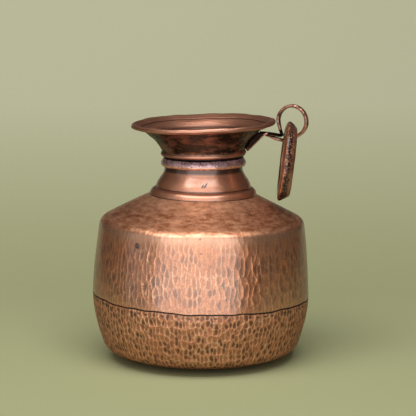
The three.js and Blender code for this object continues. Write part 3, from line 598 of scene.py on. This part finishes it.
# Neck band. A heavy copper ring over the joint of neck and mouth, peened tight: pitted and dark above,
# rubbed bright along its lower edge.
def band_outline():
    """A flat bore, a flat lower face, and a crest low on the outer side that leans in to the top."""
    points = [[41.5, 205.6], [43.94, 205.6], [44.85, 207.14], [45, 208.4], [44.39, 210.64], [42.18, 214.2]]
    return np.array([*points, [41.5, 214.2]])


def band_wander(a, r, z):
    """Peened by hand: the outer side is uneven, the bore stays round."""
    out = 0.12 * np.sin(7 * a + 0.5) + 0.1 * np.sin(16 * a + z) + 0.06 * np.sin(29 * a)
    return out * smooth(r, 41.6, 44), 0.08 * np.sin(5 * a) + 0 * out


outline = eased_corners(band_outline(), 0.7, sharp=15)
band = turned("peened_band", outline, band_wander, columns=300, round_radius=45)

# Tarnished copper: purple-grey to pale in patches, with small upright black pits, and its lower edge
# rubbed back to bright metal.
band_copper, shader = finish_of("tarnished copper, peened band", metallic=0.7, roughness=0.4, film=0.7)
place = add(band_copper, "TexCoord", result=3)
height = add(band_copper, "SeparateXYZ", place, result=2)
patches = add(band_copper, "TexNoise", place, Scale=1 / 0.007, Detail=4.0, Roughness=0.65)
tall = add(band_copper, "VectorMath", place, (1 / 0.0015, 1 / 0.0015, 1 / 0.0034), operation="MULTIPLY")
pits = add(band_copper, "TexVoronoi", tall, Scale=1.0, Randomness=1.0)
few = add(band_copper, "SeparateColor", pits.node.outputs["Color"])
few = add(band_copper, "Math", few, 0.45, operation="GREATER_THAN")
pits = add(band_copper, "MapRange", pits, 0.22, 0.42, 1.0, 0.0)
pits = add(band_copper, "Math", pits, few, operation="MULTIPLY")
uneven = add(band_copper, "MapRange", patches, 0.3, 0.7, -0.0009, 0.0009)
level = add(band_copper, "Math", height, uneven, operation="ADD")
rubbed = add(band_copper, "MapRange", level, 0.2078, 0.2096, 1.0, 0.0)
pale = add(band_copper, "MapRange", patches, 0.35, 0.65, 0.0, 1.0)
tone = linear("#8C6668")
for share, colour in ((pale, "#DDB4B8"), (rubbed, "#E5A582"), (pits, "#2A1B1C")):
    tone = add(band_copper, "Mix", data_type="RGBA", Factor_Float=share, A_Color=tone,
               B_Color=linear(colour), result=2)
relief = add(band_copper, "Math", pits, -0.25, operation="MULTIPLY")
relief = add(band_copper, "Math", patches, 0.25, relief, operation="MULTIPLY_ADD")
rough = add(band_copper, "MapRange", rubbed, 0.0, 1.0, 0.4, 0.28)
shown(band_copper, shader, tone, rough, relief)
band.data.materials.append(band_copper)
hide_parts("neck_band")
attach(band, "pot")


# Mouth. One sheet with a swaged bead at its foot flares out to a lip, which is rolled over a wire. Its
# outside is nearly black under the lip, its inside and the roll are handled bright.
bead_radius, lip_radius = 45.1, 73.4


def flare_at(t):
    """The flare's under face from the waist up: 13 mm out, 16.3 mm up, bulging 1.9 mm inwards."""
    return np.stack([43.8 + 13 * t, 222.3 + 16.3 * t + 1.9 * np.sin(np.pi * t)], -1)


def mouth_outline():
    """Foot, bead, flare, a lip that bulges 0.7 mm upwards, then twice round the wire: inside the roll out
    to its free edge at 1.5 mm, and back over the roll's outside at 2.6 mm to the lip's upper face. The
    sheet thins by 27 % towards the roll."""
    foot = [[throat_radius, 210.8], [throat_radius, 214.5], [41.98, 215.16], [44.0, 216.6],
            [bead_radius, 218.2], [bead_radius, 219.6]]
    flare = flare_at(np.linspace(0, 1, 40))
    turn = np.radians(np.linspace(121, -151, 40))
    ring = np.stack([np.cos(turn), np.sin(turn)], 1)
    wire = np.array([lip_radius, lip_height])
    start = wire + 1.5 * ring[0]
    middle = (flare[-1] + start) / 2
    t = np.linspace(0, 1, 16)[1:-1, None]
    lip = (1 - t) ** 2 * flare[-1] + 2 * t * (1 - t) * (middle + [0, 1.4]) + t * t * start
    under = np.vstack([foot, flare, lip])
    upper = inner_face(np.vstack([under, [start]]), sheet)[:-1]
    thin = smooth(under[:, 0], 62, 72)[:, None] * 0.27
    upper = upper * (1 - thin) + under * thin
    return np.vstack([under, wire + 1.5 * ring, (wire + 2.6 * ring)[::-1], upper[::-1]])


def mouth_wander(a, r, z):
    """The rolled edge waves up and down by a third of a millimetre."""
    up = 0.3 * np.sin(5 * a + 2.3) + 0.2 * np.sin(13 * a + 0.9) + 0.1 * np.sin(23 * a)
    return 0.15 * np.sin(6 * a + 1) * smooth(r, 50, 60), up * smooth(r, 60, 73)


outline = eased_corners(mouth_outline(), 0.5)
mouth = turned("flared_mouth", outline, mouth_wander, round_radius=60)
mouth_length = np.concatenate([[0], np.cumsum(np.linalg.norm(np.diff(outline, axis=0), axis=1))])
bead_at, lip_at = (mouth_length[np.argmin(np.hypot(*(outline - p).T))]
                   for p in ([bead_radius, 219], [66, 245.5]))
first_inside = np.argmax(outline[:, 1]) + 1
groove_at, throat_at = (mouth_length[first_inside:][np.argmin(np.abs(outline[first_inside:, 0] - r))]
                        for r in (65.2, 57.5))

# Smoked copper: the funnel is nearly black from the hearth, with orange-brown patches where it has been
# rubbed. Bead and lip are bright. Painted shade darkens the groove between band and bead, the groove that
# runs round inside below the lip, and the throat.
mouth_copper, shader = finish_of("smoked copper, mouth", metallic=0.85, roughness=0.35, film=0.3)
spot = add(mouth_copper, "UVMap", uv_map="mm")
place = add(mouth_copper, "TexCoord", result=3)
along = add(mouth_copper, "SeparateXYZ", spot, result=1)
patches = add(mouth_copper, "TexNoise", place, Scale=1 / 0.014, Detail=4.0, Roughness=0.6)
fine = add(mouth_copper, "TexNoise", place, Scale=1 / 0.0025, Detail=4.0, Roughness=0.6)
rings = add(mouth_copper, "VectorMath", spot, (1 / 40, 1 / 0.9, 1.0), operation="MULTIPLY")
rings = add(mouth_copper, "TexNoise", rings, Scale=1.0, Detail=3.0, Roughness=0.6)
from_bead = add(mouth_copper, "MapRange", along, bead_at + 0.8, bead_at + 3.5, 0.0, 1.0)
to_lip = add(mouth_copper, "MapRange", along, lip_at - 2.0, lip_at + 5.0, 1.0, 0.0)
soot_and_shade = add(mouth_copper, "Math", from_bead, to_lip, operation="MULTIPLY")
streaky = add(mouth_copper, "VectorMath", place, (1.0, 1.0, 2.6), operation="MULTIPLY")
streaky = add(mouth_copper, "TexNoise", streaky, Scale=1 / 0.02, Detail=7.0, Roughness=0.7)
rubbed = add(mouth_copper, "MapRange", streaky, 0.46, 0.68, 0.0, 0.7)
soot_and_shade = add(mouth_copper, "Math", soot_and_shade, rubbed, operation="SUBTRACT", use_clamp=True)
scale_pits = add(mouth_copper, "MapRange", fine, 0.52, 0.64, 0.0, 0.85)
soot = add(mouth_copper, "MapRange", soot_and_shade, 0.0, 0.3, 0.0, 1.0)
scale_pits = add(mouth_copper, "Math", scale_pits, soot, operation="MULTIPLY")
# painted shade: the groove between the band and the bead is painted dark
foot = add(mouth_copper, "MapRange", along, bead_at - 2.6, bead_at - 1.4, 1.0, 0.0)
# painted shade: the throat deep inside the mouth is painted dark
throat_shade = add(mouth_copper, "MapRange", along, throat_at - 2.5, throat_at + 3.0, 0.0, 0.8)
groove = add(mouth_copper, "Math", along, groove_at, operation="SUBTRACT")
groove = add(mouth_copper, "Math", groove, operation="ABSOLUTE")
groove = add(mouth_copper, "MapRange", groove, 0.3, 1.2, 1.0, 0.0, interpolation_type="SMOOTHSTEP")
# painted shade: the groove below the lip is painted dark as well as cut in by the bump
line = add(mouth_copper, "Math", groove, 0.75, operation="MULTIPLY")
for mask in (scale_pits, foot, throat_shade, line):
    soot_and_shade = add(mouth_copper, "Math", soot_and_shade, mask, operation="MAXIMUM")
browned = add(mouth_copper, "MapRange", rings, 0.35, 0.65, 0.0, 1.0)
tone = linear("#CB9076")
for share, colour in ((browned, "#9E6850"), (soot_and_shade, "#21140F")):
    tone = add(mouth_copper, "Mix", data_type="RGBA", Factor_Float=share, A_Color=tone,
               B_Color=linear(colour), result=2)
relief = add(mouth_copper, "Math", rings, 0.12, operation="MULTIPLY")
for pattern, height in ((fine, 0.18), (scale_pits, -0.15), (groove, -0.5)):
    relief = add(mouth_copper, "Math", pattern, height, relief, operation="MULTIPLY_ADD")
rough = add(mouth_copper, "MapRange", soot_and_shade, 0.0, 1.0, 0.34, 0.5)
shown(mouth_copper, shader, tone, rough, relief)
mouth.data.materials.append(mouth_copper)
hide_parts("mouth")
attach(mouth, "pot")


# Rim wire. A copper wire lies inside the roll and stiffens the lip. It only shows from below, in the gap
# by the roll's free edge.
def wire_outline():
    """A circle of 1.2 mm radius in the middle of the roll."""
    a = np.linspace(0, 2 * np.pi, 17)[:-1]
    return [lip_radius, lip_height] + 1.2 * np.stack([np.cos(a), np.sin(a)], 1)


wire = turned("wire_in_rim", wire_outline(), mouth_wander, columns=240, round_radius=73)

# Drawn copper wire, tarnished brown in patches; fine lines from the draw plate run along it.
wire_copper, shader = finish_of("drawn copper wire, tarnished", metallic=1, roughness=0.45)
spot = add(wire_copper, "UVMap", uv_map="mm")
place = add(wire_copper, "TexCoord", result=3)
patches = add(wire_copper, "TexNoise", place, Scale=1 / 0.006, Detail=2.0)
drawn = add(wire_copper, "VectorMath", spot, (1 / 12, 1 / 0.3, 1.0), operation="MULTIPLY")
drawn = add(wire_copper, "TexNoise", drawn, Scale=1.0, Detail=2.0)
dull = add(wire_copper, "MapRange", drawn, 0.4, 0.65, 0.0, 0.5)
tone = linear("#7A4A35")
for share, colour in ((patches, "#4A2D22"), (dull, "#33211A")):
    tone = add(wire_copper, "Mix", data_type="RGBA", Factor_Float=share, A_Color=tone,
               B_Color=linear(colour), result=2)
relief = add(wire_copper, "Math", drawn, 0.05, operation="MULTIPLY")
rough = add(wire_copper, "MapRange", patches, 0.35, 0.65, 0.38, 0.55)
shown(wire_copper, shader, tone, rough, relief)
wire.data.materials.append(wire_copper)
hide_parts("rim_wire")
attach(wire, "pot")


# Ear. A forged lug is filed to fit under the mouth and drawn out to a flat bar. The bar reaches out below
# the lip as a stem, is bent up to a standing eye, comes down again and is laid back along the stem.
bar_width, bar_thick = 5.8, 3.5
eye_radius, eye_turn, stem_below = 16.3, 28, 20.7  # mm, degrees, mm from the eye's middle to the stem
eye_middle = settled(np.array([lip_radius, 0, lip_height])) + [20.3, 0, 0.4]


def curve_through(knots, steps):
    """A centripetal Catmull-Rom curve through the knots, sampled at even steps of its own length."""
    k = np.asarray(knots, float)
    k = np.vstack([2 * k[0] - k[1], k, 2 * k[-1] - k[-2]])
    gaps = np.linalg.norm(np.diff(k, axis=0), axis=1) ** 0.5
    fine = []
    t = np.linspace(0, 1, 60)[:-1, None]
    for p0, p1, p2, p3, a, b, c in zip(k, k[1:], k[2:], k[3:], gaps, gaps[1:], gaps[2:]):
        m1 = ((p1 - p0) / a - (p2 - p0) / (a + b) + (p2 - p1) / b) * b
        m2 = ((p2 - p1) / b - (p3 - p1) / (b + c) + (p3 - p2) / c) * b
        fine.append((2 * t**3 - 3 * t**2 + 1) * p1 + (t**3 - 2 * t**2 + t) * m1
                    + (3 * t**2 - 2 * t**3) * p2 + (t**3 - t**2) * m2)
    fine = np.vstack([*fine, k[-2:-1]])
    length = np.concatenate([[0], np.cumsum(np.linalg.norm(np.diff(fine, axis=0), axis=1))])
    at = np.linspace(0, length[-1], steps + 1)
    return np.stack([np.interp(at, length, fine[:, i]) for i in range(3)], 1), length[-1]


def forged_bar(name, path, length, width, thick, twist, sides=32, wander=0.0):
    """A flat bar along a path, its section a superellipse, width across and thick upwards, with the wide
    side turned by twist degrees about Z. Hammering leaves it uneven. Both ends close in a low dome."""
    along = np.gradient(path, axis=0)
    along /= np.linalg.norm(along, axis=1, keepdims=True)
    turn = np.radians(twist)
    side = np.stack([np.sin(turn), np.cos(turn), 0 * turn], 1)
    side -= along * (along * side).sum(1, keepdims=True)
    side /= np.linalg.norm(side, axis=1, keepdims=True)
    up = np.cross(along, side)
    t = np.linspace(0, 1, len(path))
    a = np.linspace(0, 2 * np.pi, sides + 1)[:-1]
    c = np.sign(np.cos(a)) * np.abs(np.cos(a)) ** 0.6
    s = np.sign(np.sin(a)) * np.abs(np.sin(a)) ** 0.6
    uneven = 1 + wander * (np.sin(37 * t[:, None] + 2 * a) + np.sin(61 * t[:, None] + 3 * a + 1)) / 2
    ring = (c * uneven)[..., None] * (width[:, None, None] / 2) * side[:, None]
    ring = path[:, None] + ring + (s * uneven)[..., None] * (thick[:, None, None] / 2) * up[:, None]
    domes = []
    for end, way in ((0, -1), (-1, 1)):
        grow = np.array([0, 0.55, 0.85]) if end == 0 else np.array([0.85, 0.55, 0])
        reach = np.sqrt(1 - grow**2) * thick[end] * 0.28
        rim = ring[end] - path[end]
        domes.append(path[end] + rim[None] * grow[:, None, None] + along[end] * way * reach[:, None, None])
    points = np.concatenate([domes[0], ring, domes[1]])
    v = np.linspace(0, length, len(points))
    u = np.linspace(0, width.mean() + thick.mean(), sides + 1)
    return surface(name, points, np.stack(np.meshgrid(v, u, indexing="ij")[::-1], -1))


def on_mouth(t, out):
    """A point in the ear's plane, so far out of the mouth's under face, after the pot has settled."""
    t = np.asarray(t, float)
    p, q = flare_at(t), flare_at(t + 0.01)
    way = (q - p) / np.linalg.norm(q - p, axis=-1, keepdims=True)
    at = p + np.stack([way[..., 1], -way[..., 0]], -1) * np.asarray(out)[..., None]
    return settled(np.stack([at[..., 0], 0 * at[..., 0], at[..., 1]], -1))


def lug_frame():
    """Lower outer corner of the lug, just above the mouth's bead, and the directions up its outer face
    and square into it. The face slopes by 44.2 degrees."""
    slope = np.radians(44.2)
    corner = settled(np.array([bead_radius, 0, 219.0])) + [1.3, 0, 0.7]
    up_face = np.array([np.cos(slope), 0, np.sin(slope)])
    return corner, up_face, np.array([-up_face[2], 0, up_face[0]])


def lug_mesh():
    """A wedge in side view and a tongue seen square to its face, 24 mm long and 14 to 8.5 mm wide. Its
    inner side lies 0.4 mm off the mouth: that distance is read along the face from the mouth's outline,
    and grows to the sides, where the round mouth falls away from the flat face."""
    long, wide, narrow, gap = 24, 14, 8.5, 0.4
    corner, up_face, inwards = lug_frame()
    under = mouth_outline()[4:60]
    off = under - gap * (inner_face(under, 1.0) - under)
    off = settled(np.stack([off[:, 0], 0 * off[:, 0], off[:, 1]], 1)) - corner
    share = np.concatenate([[0], np.linspace(0.06, 1, 70) ** 1.6])[:, None]
    a = np.linspace(0, 2 * np.pi, 65)[:-1]
    width = wide + (narrow - wide) * smooth(share * long, long * 0.45, long)
    width = width * np.sqrt(1 - np.clip(1 - share * long / 5, 0, 1) ** 2)
    side = np.sign(np.cos(a)) * np.abs(np.cos(a)) ** 0.22 * width / 2
    level = (1 + np.sign(np.sin(a)) * np.abs(np.sin(a)) ** 0.22) / 2
    deep = np.interp(share * 23, off @ up_face, off @ inwards) + 0.7 * (50 - np.sqrt(50**2 - side**2))
    crown = 0.25 * (1 - (2 * side / wide) ** 2) * (1 - level)
    u = share * (long - 0.3 * deep * level)
    points = corner + u[..., None] * up_face + (deep * level - crown)[..., None] * inwards
    points = points + side[..., None] * [0, 1, 0]
    middle = points[-1].mean(0)
    cap = middle + (points[-1] - middle) * np.array([0.7, 0.35, 0])[:, None, None]
    points = np.concatenate([points, cap])
    v, u = np.linspace(0, 30, len(points)), np.linspace(0, 40, 65)
    return surface("ear_lug", points, np.stack(np.meshgrid(v, u, indexing="ij")[::-1], -1))


def in_eye(across, up):
    """A point of the eye, which is twisted 28 degrees to the front on its outer side. Low down on that
    side it comes back over the stem."""
    a = np.radians(eye_turn)
    twist = np.where(across > 0, smooth(up, -stem_below, 0), 1)
    return eye_middle + np.stack([across * np.cos(a), -across * np.sin(a) * twist, up + 0 * across], -1)


def bar_path():
    """Stem, lowest point, the eye round to 178 degrees, and the leg that comes down beside the ring."""
    foot = in_eye(np.array(-4.6), np.array(-stem_below)) * [1, 0, 1]
    stem = foot + np.array([[-29.5, 0, 7], [-25.37, 0, 6.72], [-19.18, 0, 4.9], [-12.69, 0, 2.24],
                            [-5.9, 0, 0.63]])
    a = np.radians(np.linspace(-48, 178, 11))
    leg = in_eye(np.array([-14.5, -11.9]), np.array([-7.7, -15.4]))
    return np.vstack([stem, [foot], in_eye(eye_radius * np.cos(a), eye_radius * np.sin(a)), leg])


knots = bar_path()
path, length = curve_through(knots, 220)
t = np.linspace(0, 1, len(path))
drawn = 1 - 0.28 * smooth(t, 0.84, 1)
width, thick = bar_width * drawn, bar_thick * drawn * (0.85 + 0.15 * smooth(t, 0.04, 0.16))
ear = forged_bar("forged_ear", path, length, width, thick, eye_turn * smooth(t, 0.24, 0.42), wander=0.04)

leg = knots[-1]
tail_knots = leg + np.array([[0.5, 0, 1], [-1.6, -0.8, 0], [-8.2, -leg[1], 1.5], [-15.2, -leg[1] - 1, 2.6],
                             [-23.4, -leg[1] - 1.2, 3.3]])
path, length = curve_through(tail_knots, 60)
even = np.ones(len(path))
width, thick = 0.8 * bar_width * even, bar_thick * even
tail = forged_bar("ear_tail", path, length, width, thick, 0 * even, wander=0.05)
lug = lug_mesh()

# Forged copper, finely pitted by scale. Smoke has blackened the tail and dulled the metal in patches, and
# under the lip it is painted black as shade; no oxide gloss is left on the dark parts. The underside of the
# stem and the lug's outer face are rubbed bright, and the eye's inside is painted grey, a painted
# reflection.
forged, shader = finish_of("forged copper, ear", metallic=0.85, roughness=0.38)
place = add(forged, "TexCoord", result=3)
x, _, z = (add(forged, "SeparateXYZ", place, result=k) for k in range(3))
patches = add(forged, "TexNoise", place, Scale=1 / 0.006, Detail=4.0, Roughness=0.6)
pits = add(forged, "TexVoronoi", place, Scale=1 / 0.0016, Randomness=1.0)
pits = add(forged, "MapRange", pits, 0.2, 0.4, 0.7, 0.0)
soot_and_shade = add(forged, "MapRange", patches, 0.4, 0.6, 0.05, 0.85)
# painted shade: the stem is painted black where it lies under the lip
painted_shade_under_lip = add(forged, "MapRange", x, 0.066, 0.088, 0.97, 0.0)
soot_and_shade = add(forged, "Math", soot_and_shade, painted_shade_under_lip, operation="MAXIMUM")
facing = add(forged, "TexCoord", result=1)
upright = add(forged, "SeparateXYZ", facing, result=2)
above = add(forged, "Math", x, 0.26, z, operation="MULTIPLY_ADD")
above = add(forged, "MapRange", above, 0.2544, 0.2552, 0.0, 1.0)
short = add(forged, "MapRange", x, 0.093, 0.097, 1.0, 0.0)
low = add(forged, "MapRange", z, 0.242, 0.244, 1.0, 0.0)
for mask in (short, low):
    above = add(forged, "Math", above, mask, operation="MULTIPLY")
soot_and_shade = add(forged, "Math", soot_and_shade, above, operation="MAXIMUM")
corner, _, inwards = lug_frame()
depth = add(forged, "VectorMath", place, tuple(corner / 1000), operation="SUBTRACT")
depth = add(forged, "VectorMath", depth, tuple(inwards), operation="DOT_PRODUCT", result=1)
depth = add(forged, "Math", depth, operation="ABSOLUTE")
edge = add(forged, "MapRange", depth, 0.0005, 0.0012, 1.0, 0.0)
below = add(forged, "MapRange", upright, -0.2, -0.6, 0.0, 1.0)
rubbed = add(forged, "Math", edge, below, operation="MAXIMUM")
rubbed = add(forged, "Math", rubbed, 0.85, operation="MULTIPLY")
soot_and_shade = add(forged, "Math", soot_and_shade, rubbed, operation="SUBTRACT", use_clamp=True)
# painted reflection: the faces of the eye that turn to its middle are painted grey
inside = add(forged, "VectorMath", tuple(eye_middle / 1000), place, operation="SUBTRACT")
inside = add(forged, "VectorMath", inside, operation="NORMALIZE")
inside = add(forged, "VectorMath", inside, facing, operation="DOT_PRODUCT", result=1)
inside = add(forged, "MapRange", inside, 0.15, 0.55, 0.0, 0.8)
eye_only = add(forged, "MapRange", z, 0.242, 0.246, 0.0, 1.0)
inside = add(forged, "Math", inside, eye_only, operation="MULTIPLY")
tone = linear("#D69C82")
for share, colour in ((pits, "#4A2F26"), (soot_and_shade, "#1C1412"), (inside, "#5A5350")):
    tone = add(forged, "Mix", data_type="RGBA", Factor_Float=share, A_Color=tone, B_Color=linear(colour),
               result=2)
relief = add(forged, "Math", patches, 0.5, operation="MULTIPLY")
relief = add(forged, "Math", pits, -0.12, relief, operation="MULTIPLY_ADD")
rough = add(forged, "MapRange", soot_and_shade, 0.0, 0.9, 0.32, 0.62)
film = add(forged, "MapRange", soot_and_shade, 0.0, 0.6, 0.5, 0.0)
shown(forged, shader, tone, rough, relief, film=film)
for piece in (ear, tail, lug):
    piece.data.materials.append(forged)
    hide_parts("ear")
    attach(piece, "pot")


# Rivets. Two copper rivets through lug and mouth. Outside they are sunk and filed flush with the lug, and
# show as a round line; inside the mouth each is peened to a low dome.
def rivet_at(name, t):
    """A dome of 3.5 mm radius inside, a shank of 2 mm, and a head at the lug's face, turned round the line
    square to the sheet. The head is then pushed along that line into the plane of the face, 0.4 mm proud
    at its middle."""
    head_radius, shank_radius = 3.5, 2
    corner, _, inwards = lug_frame()
    centre, tip = on_mouth(t, 0.0), on_mouth(t, 1.0)
    out = (tip - centre) / np.linalg.norm(tip - centre)
    face = (corner - centre) @ inwards / (out @ inwards)
    a = np.linspace(0, np.pi / 2, 9)
    dome = np.stack([head_radius * np.sin(a), -2.0 - 1.4 * np.cos(a)], 1)
    shank = [[shank_radius, -2.0], [shank_radius, face - 1.5]]
    head = [[r, face] for r in (head_radius, 3.3, 2.4, 1.2, 0)]
    profile = np.vstack([dome, shank, head])
    side = np.array([0.0, 1, 0])
    third = np.cross(out, side)
    turn = np.linspace(0, 2 * np.pi, 33)
    ring = side * np.cos(turn[:-1, None]) + third * np.sin(turn[:-1, None])
    uneven = 1 + 0.04 * np.sin(3 * turn[:-1] + 7 * t)
    r, h = profile[:, :1], profile[:, 1:]
    points = centre + (r * uneven)[..., None] * ring[None] + h[..., None] * out
    proud = -0.4 + 0.4 * (r[-5:] / head_radius) ** 2
    points[-5:] += ((proud - (points[-5:] - corner) @ inwards) / (out @ inwards))[..., None] * out
    uv = np.stack(np.meshgrid(np.arange(len(profile)) * 0.8, turn * 3, indexing="ij")[::-1], -1)
    return surface(name, points, uv)


# Peened copper: small flat hammer facets, bright at their edges, with brown tarnish in patches.
rivet_copper, shader = finish_of("hammered copper rivet", metallic=1, roughness=0.4)
place = add(rivet_copper, "TexCoord", result=3)
patches = add(rivet_copper, "TexNoise", place, Scale=1 / 0.003, Detail=2.0)
facets = add(rivet_copper, "TexVoronoi", place, Scale=1 / 0.0016, Randomness=1.0)
bright = add(rivet_copper, "MapRange", facets, 0.35, 0.6, 0.0, 0.6)
tone = linear("#8F563E")
for share, colour in ((patches, "#53321F"), (bright, "#C98C70")):
    tone = add(rivet_copper, "Mix", data_type="RGBA", Factor_Float=share, A_Color=tone,
               B_Color=linear(colour), result=2)
relief = add(rivet_copper, "Math", facets, 0.12, operation="MULTIPLY")
rough = add(rivet_copper, "MapRange", patches, 0.35, 0.65, 0.34, 0.5)
shown(rivet_copper, shader, tone, rough, relief)
for name, t in (("rivet_lower", 0.2), ("rivet_upper", 0.74)):
    rivet = rivet_at(name + "_peened", t)
    rivet.data.materials.append(rivet_copper)
    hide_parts(name)
    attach(rivet, "pot")


# Carry ring. A heavy loose ring forged from bar, with a low ridge round its outside, hangs in the eye. It
# is deeply pitted and black along its middle and rubbed bright along its edges.
bore_radius = 29.7


def ring_mesh():
    """The section, across the ring and out from its bore, carried round the ring's axis. Towards the
    ring's lowest point it passes into a flatter one with a slanted facet. The ring leans 6.6 degrees in
    towards the pot and is turned 1.4 degrees."""
    section = np.array([[-6.65, 1.56], [-6.65, 4.6], [-4.83, 10.31], [-2.6, 13], [1.56, 11.21], [6.65, 6.1],
                        [6.65, 1.56], [5.32, 0], [-5.32, 0]])
    lower = section.copy()
    lower[1:6] += [[0, 1.6], [-0.9, 1.2], [-1.4, 0], [0, -1.5], [0, 0.3]]
    aside = [20, 0]  # clear of the axis, where corners are kept
    section, lower = (eased_corners(s + aside, 1.8, sharp=1) - aside for s in (section, lower))
    lean, turn = np.radians(6.6), np.radians(1.4)
    across = np.array([np.cos(lean) * np.cos(turn), -np.cos(lean) * np.sin(turn), -np.sin(lean)])
    down = np.array([-np.sin(lean) * np.cos(turn), np.sin(lean) * np.sin(turn), -np.cos(lean)])
    fore = np.array([np.sin(turn), np.cos(turn), 0.0])
    centre = eye_middle + [-1.8, 0, bar_thick / 2 + 5.6 - stem_below] + down * bore_radius
    a = np.linspace(0, 2 * np.pi, 241)[:-1, None]
    out = -np.cos(a) * down + np.sin(a) * fore
    wave = 1 + 0.01 * np.sin(5 * a + 1) + 0.008 * np.sin(13 * a)
    low = smooth(-np.cos(a), 0.2, 0.95)
    u, v = (section[None] * (1 - low[..., None]) + lower[None] * low[..., None]).transpose(2, 0, 1)
    v = v * wave
    points = centre + (u * wave)[..., None] * across + (bore_radius + v)[..., None] * out[:, None]
    step = np.linalg.norm(np.diff(np.vstack([section, section[:1]]), axis=0), axis=1)
    girth = np.concatenate([[0], np.cumsum(step)])
    round_ring = np.linspace(0, 2 * np.pi * 38, 241)
    uv = np.stack(np.meshgrid(round_ring, girth, indexing="ij")[::-1], -1)
    return surface("forged_carry_ring", points, uv, closed_rows=True)


ring = ring_mesh()

# Forged copper, heavily pitted: black scale pits run along the middle, and the edge next to the pot is
# rubbed bright.
ring_copper, shader = finish_of("forged copper, carry ring", metallic=0.8, roughness=0.38, film=0.5)
spot = add(ring_copper, "UVMap", uv_map="mm")
place = add(ring_copper, "TexCoord", result=3)
girth = add(ring_copper, "SeparateXYZ", spot)
patches = add(ring_copper, "TexNoise", place, Scale=1 / 0.007, Detail=4.0, Roughness=0.6)
pits = add(ring_copper, "TexNoise", place, Scale=1 / 0.0022, Detail=4.0, Roughness=0.7)
inner = add(ring_copper, "MapRange", girth, 10.5, 13.0, 0.0, 1.0)
outer = add(ring_copper, "MapRange", girth, 18.0, 22.5, 1.0, 0.25)
middle = add(ring_copper, "Math", inner, outer, operation="MULTIPLY")
least = add(ring_copper, "MapRange", middle, 0.0, 1.0, 0.66, 0.38)
most = add(ring_copper, "Math", least, 0.14, operation="ADD")
pits = add(ring_copper, "MapRange", pits, least, most, 0.0, 1.0)
browned = add(ring_copper, "MapRange", patches, 0.35, 0.65, 0.0, 1.0)
outside = add(ring_copper, "MapRange", girth, 17.0, 25.0, 0.0, 0.6)
tone = linear("#E29C72")
for share, colour in ((browned, "#A2654A"), (outside, "#6B4231"), (pits, "#241D20")):
    tone = add(ring_copper, "Mix", data_type="RGBA", Factor_Float=share, A_Color=tone,
               B_Color=linear(colour), result=2)
relief = add(ring_copper, "Math", pits, -0.35, operation="MULTIPLY")
relief = add(ring_copper, "Math", patches, 0.5, relief, operation="MULTIPLY_ADD")
rough = add(ring_copper, "MapRange", pits, 0.0, 1.0, 0.28, 0.45)
shown(ring_copper, shader, tone, rough, relief)
ring.data.materials.append(ring_copper)
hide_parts("carry_ring")
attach(ring, "carry_ring")

# View. Colours are shown as they are written.
bpy.context.scene.view_settings.view_transform = "Standard"
